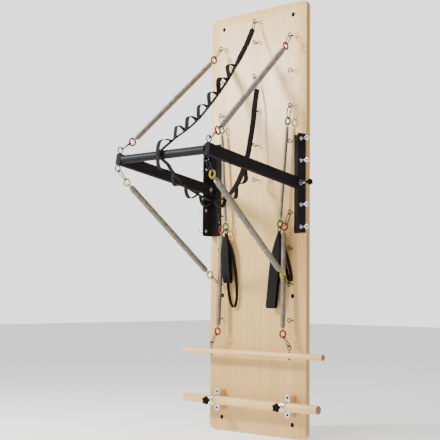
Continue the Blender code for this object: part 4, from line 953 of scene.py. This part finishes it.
def make_springs():
    sets = (("upper", 8, 1, (-55, -34), red_lacquer, OPEN_HOOK_HALF_WIDTH),
            ("lower", 1, -1, (37, 52), yellow_lacquer, HOOK_HALF_WIDTH))
    for label, row, face, angles, lacquer, top_width in sets:
        for side, hand in HANDS:
            eye = place(side * EYE_COLUMN, EYE_RING_OUT, row_height(row))
            bar_eye = along_bar(side * ARM_CENTRE, BAR_EYE_REACH, face * BAR_EYE_OFFSET)
            pulls = [(direction(side * 0.13, math.cos(math.radians(angle)), math.sin(math.radians(angle))),) * 2
                     for angle in angles]
            name = f"{label}_{hand}_spring"
            hang_spring(name, (eye, bar_eye), (EYE_GAP, BAR_EYE_GAP), pulls, lacquer, (name, name + "_end"),
                        wide=(top_width, BAR_HOOK_HALF_WIDTH))
    for side, hand in HANDS:
        eye = place(side * EYE_COLUMN, EYE_RING_OUT, row_height(6))
        hanger = place(side * ARM_HANGER[0], *ARM_HANGER[1:])
        last_pull = direction(-side * 0.12, 0.0, -1.0)
        pulls = ((direction(-side * 0.010, 0.002, -0.0727),) * 2, (last_pull,) * 2)
        hang_spring(f"arm_{hand}_spring", (eye, hanger), (EYE_GAP, 0.0), pulls, green_lacquer,
                    (f"arm_{hand}_spring", f"arm_{hand}_handle"), last_hook=HANDLE_HOOK_LENGTH,
                    wide=(OPEN_HOOK_HALF_WIDTH, LEG_HOOK_HALF_WIDTH), coil_radius=ARM_COIL_RADIUS)
        make_handle(hand, side, hanger - last_pull.normalized() * HANDLE_BEND)

        eye = place(side * EYE_COLUMN, EYE_RING_OUT, row_height(3))
        bar_eye = place(side * ROLL_EYE_COLUMN, ROLL_BAR_OUT, ROLL_BAR_HEIGHT + ROLL_EYE_RISE)
        pulls = ((direction(-side * 0.225, 0.17, -1.0), direction(-side * 1.0, 0.10, -1.0)),
                 (direction(side * 0.66, 0.0, -1.0),) * 2)
        turns = ((0.0, side * math.radians(80)), side * math.radians(84), (side * math.radians(90),) * 2)
        hang_spring(f"leg_{hand}_spring", (eye, bar_eye), (EYE_GAP - LINK_SLACK,) * 2, pulls, red_lacquer,
                    ("leg_springs", "roll_down_bar"), turns, wide=(LEG_HOOK_HALF_WIDTH,) * 2,
                    coil_radius=LEG_COIL_RADIUS)


# Webbing


def wide_loop(drop, lean, belly, width):
    """Points (inboard, out, drop, width) of the band that bends round the hook's wire and hangs
    from it, down its front and up its back."""
    neck, near = HANDLE_NECK_WIDTH, HANDLE_BEND * 0.9
    points = []
    for turn in (-35, 0, 35, 90):
        angle = math.radians(turn)
        points.append((0.0, HANDLE_BEND * math.sin(angle), HANDLE_BEND * (1 - math.cos(angle)), neck))
    fold = 0.0075
    strand = drop - HANDLE_BEND - fold
    shares = (0.14, 0.36, 0.62, 0.86, 1.0)
    for front, order in ((1, shares), (-1, reversed(shares))):
        if front < 0:
            points.append((lean, 0.0, drop, width))
        for share in order:
            out = front * near + front * share * (fold - near)
            if front > 0:
                out += belly * math.sin(math.pi * share)
            grown = min(1.0, share / 0.36) ** 0.7
            points.append((lean * share, out, HANDLE_BEND + strand * share, neck + (width - neck) * grown))
    return points + [(0.0, -near, HANDLE_BEND, neck)]


def open_loop(drop, lean, half_gap, width):
    """Points (inboard, out, drop, width) of the band that is sewn behind the first and stands open."""
    points = []
    steps = 14
    for k in range(steps):
        turn = 2 * math.pi * k / steps
        share = (1 - math.cos(turn)) / 2
        inboard = 0.004 + lean * share + half_gap * math.sin(turn) * (0.45 + 0.55 * share)
        back = math.sin(min(1.0, share / 0.25) * math.pi / 2)
        grown = math.sin(min(1.0, share / 0.1) * math.pi / 2)
        points.append((inboard, -0.006 - 0.013 * back, OPEN_LOOP_TOP + (drop - OPEN_LOOP_TOP) * share,
                       HANDLE_NECK_WIDTH + (width - HANDLE_NECK_WIDTH) * grown))
    return points


def webbing_section(thickness):
    """Cross-section of a flat band one unit wide: square-woven faces with rounded selvedges."""
    points = []
    for side, first in ((1, -90), (-1, 90)):
        for k in range(7):
            turn = math.radians(first + 180 * k / 6)
            points.append((side * 0.5 + 0.04 * math.cos(turn) - side * 0.04, thickness / 2 * math.sin(turn)))
    return points


def add_band(shape, path, width_along, widths, thickness, closed=False):
    """A band of webbing along a path; widths is one value, or one for each point."""
    sizes = np.stack([np.ones(len(path)) * widths, np.ones(len(path))], axis=1)
    shape.sweep(path, webbing_section(thickness), width_along, sizes, closed)


def add_stitches(shape, path, width_along, offsets, pitch, thickness):
    """A row of lock stitches on a band's outer face; offsets along its width, one for each point."""
    path = np.array(path)
    run = running_length(path)
    wide = np.array(tuple(width_along), dtype=float)
    count = max(1, int(run[-1] / pitch))
    for k in range(count):
        ends = []
        for share in (0.18, 0.5, 0.82):
            distance = (k + share) * run[-1] / count
            point = np.array([np.interp(distance, run, path[:, i]) for i in range(3)])
            i = min(int(np.searchsorted(run, distance)), len(path) - 1)
            along = path[i] - path[max(i - 1, 0)]
            along = along / np.linalg.norm(along)
            up = np.cross(along, wide)
            up /= np.linalg.norm(up)
            lift = thickness / 2 + (0.0002 if share == 0.5 else -0.0002)
            ends.append(Vector(point + up * lift + wide * np.interp(distance, run, offsets)))
        shape.sweep(ends, circle(5), tuple(wide), 0.00038, slot=1)


def make_handle(hand, side, top):
    """The two sewn loops that hang from an arm spring."""
    shape = Shape()
    bands = ((wide_loop(*WIDE_LOOPS[hand]), ALONG_X), (open_loop(*OPEN_LOOPS[hand]), Vector((0, 1, 0))))
    for points, width_along in bands:
        values = smooth_path(points, 6, closed=True)
        path = [top + Vector((-side * inboard, -out, -drop)) for inboard, out, drop, _ in values]
        widths = values[:, 3]
        add_band(shape, path, width_along, widths, HANDLE_THICKNESS, closed=True)
        for edge in (-1, 1):
            add_stitches(shape, path, width_along, edge * (widths / 2 - 0.0030), STITCH_PITCH, HANDLE_THICKNESS)
    make_piece(f"{hand}_loop_handle", shape, [webbing, thread], f"arm_{hand}_handle", [f"{hand}_handle"],
               "black_webbing", 60.0)


def strap_route():
    """The strap's middle line, from its top hook over the cross tube and back to its lower hook."""
    tube_out = PIVOT[0] + CROSS_TUBE_REACH * math.cos(BAR_TILT)
    tube_height = PIVOT[1] + CROSS_TUBE_REACH * math.sin(BAR_TILT)
    round_tube = []
    for turn in (58, 28, -2, -30, -55, -80):
        angle = math.radians(turn)
        round_tube.append((0.0, tube_out + STRAP_OVER_TUBE * math.cos(angle),
                           tube_height + STRAP_OVER_TUBE * math.sin(angle)))
    ends = []
    for height, pull, length in STRAP_HOOKS.values():
        reach = EYE_GAP + length + HOOK_WIRE + 0.0003
        ends.append(place(0, EYE_RING_OUT, height) + direction(*pull).normalized() * reach)
    route = [place(*item) for item in (*STRAP_OUTWARD_RUN, *round_tube, *STRAP_RETURN_RUN)]
    return [ends[0]] + route + [ends[1]]


def turned_width(degrees):
    """The direction of a band's width, turned about the upright out of the board's X."""
    return Matrix.Rotation(math.radians(degrees), 3, "Z") @ ALONG_X


def make_loop_strap():
    """The strap with its twelve sewn loops, the large loop at the tube, and the hooks of its ends."""
    points = strap_route()
    shape = Shape()
    steps = 8
    path = smooth_path(points, steps)
    turns = np.interp(np.arange(len(path)) / steps, *zip(*STRAP_TURNS))
    add_band(shape, path, [turned_width(turn) for turn in turns], STRAP_WIDTH, STRAP_THICKNESS)
    for index, turn in STRAP_LOOPS:
        upper, lower = points[index], points[index + 1]
        chord = upper - lower
        away = ALONG_X.cross(chord).normalized()
        corners = [lower + chord * share + away * STRAP_LOOP_HEIGHT * lift for share, lift in STRAP_LOOP_SHAPE]
        add_band(shape, smooth_path(corners, 4), turned_width(turn), STRAP_LOOP_WIDTH, STRAP_LOOP_THICKNESS)
        for share in (0.03, 0.84):
            base = lower + chord * share + away * STRAP_LOOP_THICKNESS
            row = [base + turned_width(turn) * x for x in (-0.010, 0.0, 0.010)]
            shape.sweep(row, circle(5), tuple(away), 0.0006, slot=1)
    tube = along_bar(0, CROSS_TUBE_REACH)
    loop = smooth_path([tube + direction(0, out, rise) for out, rise in TUBE_LOOP], 5)
    add_band(shape, loop, turned_width(4), STRAP_LOOP_WIDTH, STRAP_LOOP_THICKNESS)
    strap = make_piece("sewn_loop_strap", shape, [webbing, thread], replaces=["loop_strap"], slot="black_webbing",
                       soft_angle=60.0)
    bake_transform(strap)

    for name, (height, pull, length) in STRAP_HOOKS.items():
        pull = direction(*pull).normalized()
        start = place(0, EYE_RING_OUT, height) + pull * EYE_GAP
        make_link(name + "_snap", start, (pull, pull), (0.0, 0.0), None, "wall_board", name, length)


# Roll-down bar and foot bar


def make_dowel(name, middle, length, radius, chamfer, sides, material, body):
    """A turned dowel along X with chamfered ends; its body and its CAD node share a name."""
    bevelled = ((0.0, 0.0), (0.0, radius - chamfer), (chamfer * 0.3, radius - chamfer * 0.3), (chamfer, radius))
    profile = bevelled + tuple((length - distance, size) for distance, size in reversed(bevelled))
    shape = Shape()
    shape.turned(middle - ALONG_X * length / 2, ALONG_X, profile, sides)
    make_piece(name, shape, material, body, [body], "beech_dowel")


def make_roll_down_bar():
    middle = place(0, ROLL_BAR_OUT, ROLL_BAR_HEIGHT)
    make_dowel("roll_down_dowel", middle, ROLL_BAR_LENGTH, ROLL_BAR_RADIUS, 0.002, 56, roll_beech, "roll_down_bar")
    washer = ((ROLL_BAR_RADIUS - 0.0012, 0.0062), (ROLL_BAR_RADIUS + 0.0008, 0.0062),
              (ROLL_BAR_RADIUS + 0.0008, 0.003))
    nut = ((ROLL_BAR_RADIUS + 0.0008, 0.0048), (ROLL_BAR_RADIUS + 0.0042, 0.0048),
           (ROLL_BAR_RADIUS + 0.0048, 0.0040), (ROLL_BAR_RADIUS + 0.0048, 0.002))
    for side, hand in HANDS:
        bolt = Shape()
        foot = middle + ALONG_X * (side * ROLL_EYE_COLUMN)
        ring = arc(foot + UPWARD * ROLL_EYE_RISE, -UPWARD, ALONG_X, EYE_RING_RADIUS, 34, 9, 334)
        stem = [foot + UPWARD * rise for rise in (-0.0215, 0.0, 0.012, ROLL_EYE_RISE - EYE_RING_RADIUS - 0.002)]
        bolt.wire(stem + ring, EYE_WIRE, (0, 1, 0), 12)
        for axis, profile, sides in ((-UPWARD, washer, 24), (UPWARD, washer, 24), (-UPWARD, nut, 6)):
            bolt.turned(foot, axis, profile, sides)
        make_piece(f"roll_down_{hand}_eye", bolt, zinc, "roll_down_bar", [f"roll_down_{hand}_eye_bolt"],
                   "bright_hardware", 32.0)


def make_foot_bar():
    middle = place(0, FOOT_BAR_OUT, FOOT_BAR_HEIGHT)
    make_dowel("foot_dowel", middle, FOOT_BAR_LENGTH, FOOT_BAR_RADIUS, 0.0025, 64, foot_beech, "foot_bar")
    for side, hand in HANDS:
        block = Shape()
        outline = rounded_rectangle(BLOCK_SIZE[0], BLOCK_SIZE[2], 0.004, 6)
        block.prism(outline, place(side * BLOCK_CENTRE, 0.0003, FOOT_BAR_HEIGHT), ALONG_X, UPWARD, BLOCK_SIZE[1])
        piece = make_piece(f"foot_{hand}_spacer", block, block_beech)
        soften(piece, 0.0015, 3, 40.0)
        finish_piece(piece, "wall_board", [f"foot_{hand}_block"], "beech_dowel")
        make_clamp(side, hand)
        tip = place(side * BLOCK_CENTRE, FOOT_BAR_OUT + FOOT_BAR_RADIUS + 0.0003, FOOT_BAR_HEIGHT)
        make_star_knob(f"foot_{hand}_star_knob", tip, OUTWARD, 0.021, 0.004, 0.021, f"{hand}_foot_knob",
                       f"foot_{hand}_knob")


def make_clamp(side, hand):
    """A lozenge plate with a collar that the dowel runs through, and a boss for the clamping screw."""
    end, half_height, half_width = 0.014, 0.053, BLOCK_SIZE[0] / 2 - 0.001
    outline = []
    for sign in (1, -1):
        outline += flat_arc(0, sign * (half_height - end), end, 90 * sign - 60, 90 * sign + 60, 12)
        outline += [(-sign * half_width, sign * 0.012), (-sign * half_width, -sign * 0.012)]
    plate = Shape()
    plate.prism(outline, place(side * BLOCK_CENTRE, 0.0306, FOOT_BAR_HEIGHT), ALONG_X, UPWARD, 0.004)
    piece = make_piece(f"foot_{hand}_lozenge_plate", plate, cast_zinc)
    soften(piece, 0.0009, 3, 40.0)
    finish_piece(piece, "wall_board", [f"foot_{hand}_clamp"], "bright_hardware")
    collar = Shape()
    centre = place(side * BLOCK_CENTRE, FOOT_BAR_OUT, FOOT_BAR_HEIGHT)
    inner, outer, half = FOOT_BAR_RADIUS + 0.0005, FOOT_BAR_RADIUS + 0.0045, 0.015
    ring = ((-half, inner), (-half, outer - 0.0008), (-half + 0.0008, outer), (half - 0.0008, outer),
            (half, outer - 0.0008), (half, inner))
    collar.turned(centre, ALONG_X, ring, 64, closed=True)
    boss = ((0.0225, 0.0125), (0.0245, 0.0112), (0.0275, 0.0098), (0.0310, 0.0088), (0.0358, 0.0084),
            (0.0364, 0.0078), (0.0364, 0.0044))
    collar.turned(centre, OUTWARD, boss, 40)
    saddle = rounded_rectangle(0.0236, 0.030, 0.004, 5)
    collar.prism(saddle, place(side * BLOCK_CENTRE, 0.0340, FOOT_BAR_HEIGHT), ALONG_X, UPWARD, 0.0046)
    make_piece(f"foot_{hand}_collar", collar, cast_zinc, "wall_board", slot="bright_hardware")


def make_star_knob(name, tip, axis, stud_length, stud_radius, grip, body, node):
    """A five-lobed hand knob moulded round its steel stud."""
    axis = Vector(axis)
    shape = Shape()
    thread_pitch = 0.00125
    stud = [(0.0, stud_radius * 0.8), (0.001, stud_radius)]
    for k in range(int((stud_length - 0.002) / thread_pitch)):
        base = 0.001 + k * thread_pitch
        stud += [(base + 0.0004, stud_radius), (base + 0.0010, stud_radius * 0.86)]
    shape.turned(tip, axis, stud + [(stud_length, stud_radius)], 20)
    wave = np.cos(5 * np.arange(90) * 2 * math.pi / 90)
    star = (1 + 0.15 * np.sign(wave) * np.abs(wave) ** 0.8)[:, None] * circle(90) * (0.995 / 1.15)
    hub_length, thick = 0.007, 0.014
    hub = ((0.0, 0.46), (0.001, 0.50), (hub_length, 0.54))
    crown = ((0.0, 0.84), (0.0012, 0.93), (0.0035, 0.98), (thick - 0.004, 0.98), (thick - 0.0014, 0.93),
             (thick - 0.0003, 0.84), (thick, 0.70), (thick - 0.0006, 0.50))
    for profile, section, first in ((hub, circle(40), stud_length), (crown, star, stud_length + hub_length)):
        path = [tip + axis * (first + at) for at, _ in profile]
        shape.sweep(path, section, axis.orthogonal().normalized(), [grip * size for _, size in profile],
                    tangent=axis, slot=1)
    make_piece(name, shape, [zinc, moulded_nylon], body, [node], "black_plastic", 38.0)


def make_pivot_knobs():
    for side, hand in HANDS:
        tip = place(side * (PIVOT_PIN_TIP + 0.0005), *PIVOT)
        make_star_knob(f"{hand}_pivot_star_knob", tip, (side, 0, 0), PIVOT_KNOB_STUD, PIVOT_PIN_RADIUS, 0.0150,
                       f"{hand}_pivot_knob", f"{hand}_pivot_knob")


# Camera, light and floor


def make_studio():
    yaw, pitch, roll = (math.radians(turn) for turn in CAMERA_TURNS)
    level = Vector((-math.sin(yaw), math.cos(yaw), 0))
    right = Vector((math.cos(yaw), math.sin(yaw), 0))
    ahead = level * math.cos(pitch) + UPWARD * math.sin(pitch)
    up = UPWARD * math.cos(pitch) - level * math.sin(pitch)
    turn = Matrix((right * math.cos(roll) + up * math.sin(roll), up * math.cos(roll) - right * math.sin(roll),
                   -ahead)).transposed()
    camera = link_object("Camera", bpy.data.cameras.new("Camera"))
    camera.matrix_world = Matrix.Translation(CAMERA_PLACE) @ turn.to_4x4()
    camera.data.sensor_width = 36.0
    camera.data.lens = CAMERA_LENS
    camera.data.clip_end = 60.0
    bpy.context.scene.camera = camera

    for name, spot, target, size, power in LAMPS:
        lamp = bpy.data.lights.new(name, "AREA")
        lamp.size = size
        lamp.energy = power
        light = link_object(name, lamp)
        light.location = spot
        light.rotation_euler = (Vector(target) - Vector(spot)).to_track_quat("-Z", "Y").to_euler()

    # The backdrop looks lighter than the light that it gives
    world = bpy.data.worlds.new("Studio")
    world.use_nodes = True
    tree = world.node_tree
    sky = tree.nodes["Background"]
    sky.inputs["Color"].default_value = (1.0, 1.0, 1.0, 1.0)
    straight = add_node(tree, "ShaderNodeLightPath").outputs["Is Camera Ray"]
    tree.links.new(remap(tree, straight, 0.0, 1.0, WORLD_LIGHT, BACKDROP_LIGHT), sky.inputs["Strength"])
    bpy.context.scene.world = world

    # A matt white floor that glows a little, so that it stays pale away from the lamps
    floor_white = Surface("Pale studio floor", roughness=0.9, base_color=linear("#F4F4F3"),
                          emission_color=linear("#FFFFFF"), emission_strength=0.55).material
    floor = Shape()
    corners = ((-1, -1), (1, -1), (1, 1), (-1, 1))
    floor.add([(x * FLOOR_REACH, y * FLOOR_REACH, FLOOR_LEVEL) for x, y in corners], [(0, 1, 2, 3)])
    make_piece("studio_floor", floor, floor_white)


make_board()
make_screw_eyes()
for bracket_side, bracket_hand in HANDS:
    make_bracket(bracket_side, bracket_hand)
make_side_eye_bolts()
make_small_screws()
make_push_bar()
make_springs()
make_loop_strap()
make_roll_down_bar()
make_foot_bar()
make_pivot_knobs()
make_studio()
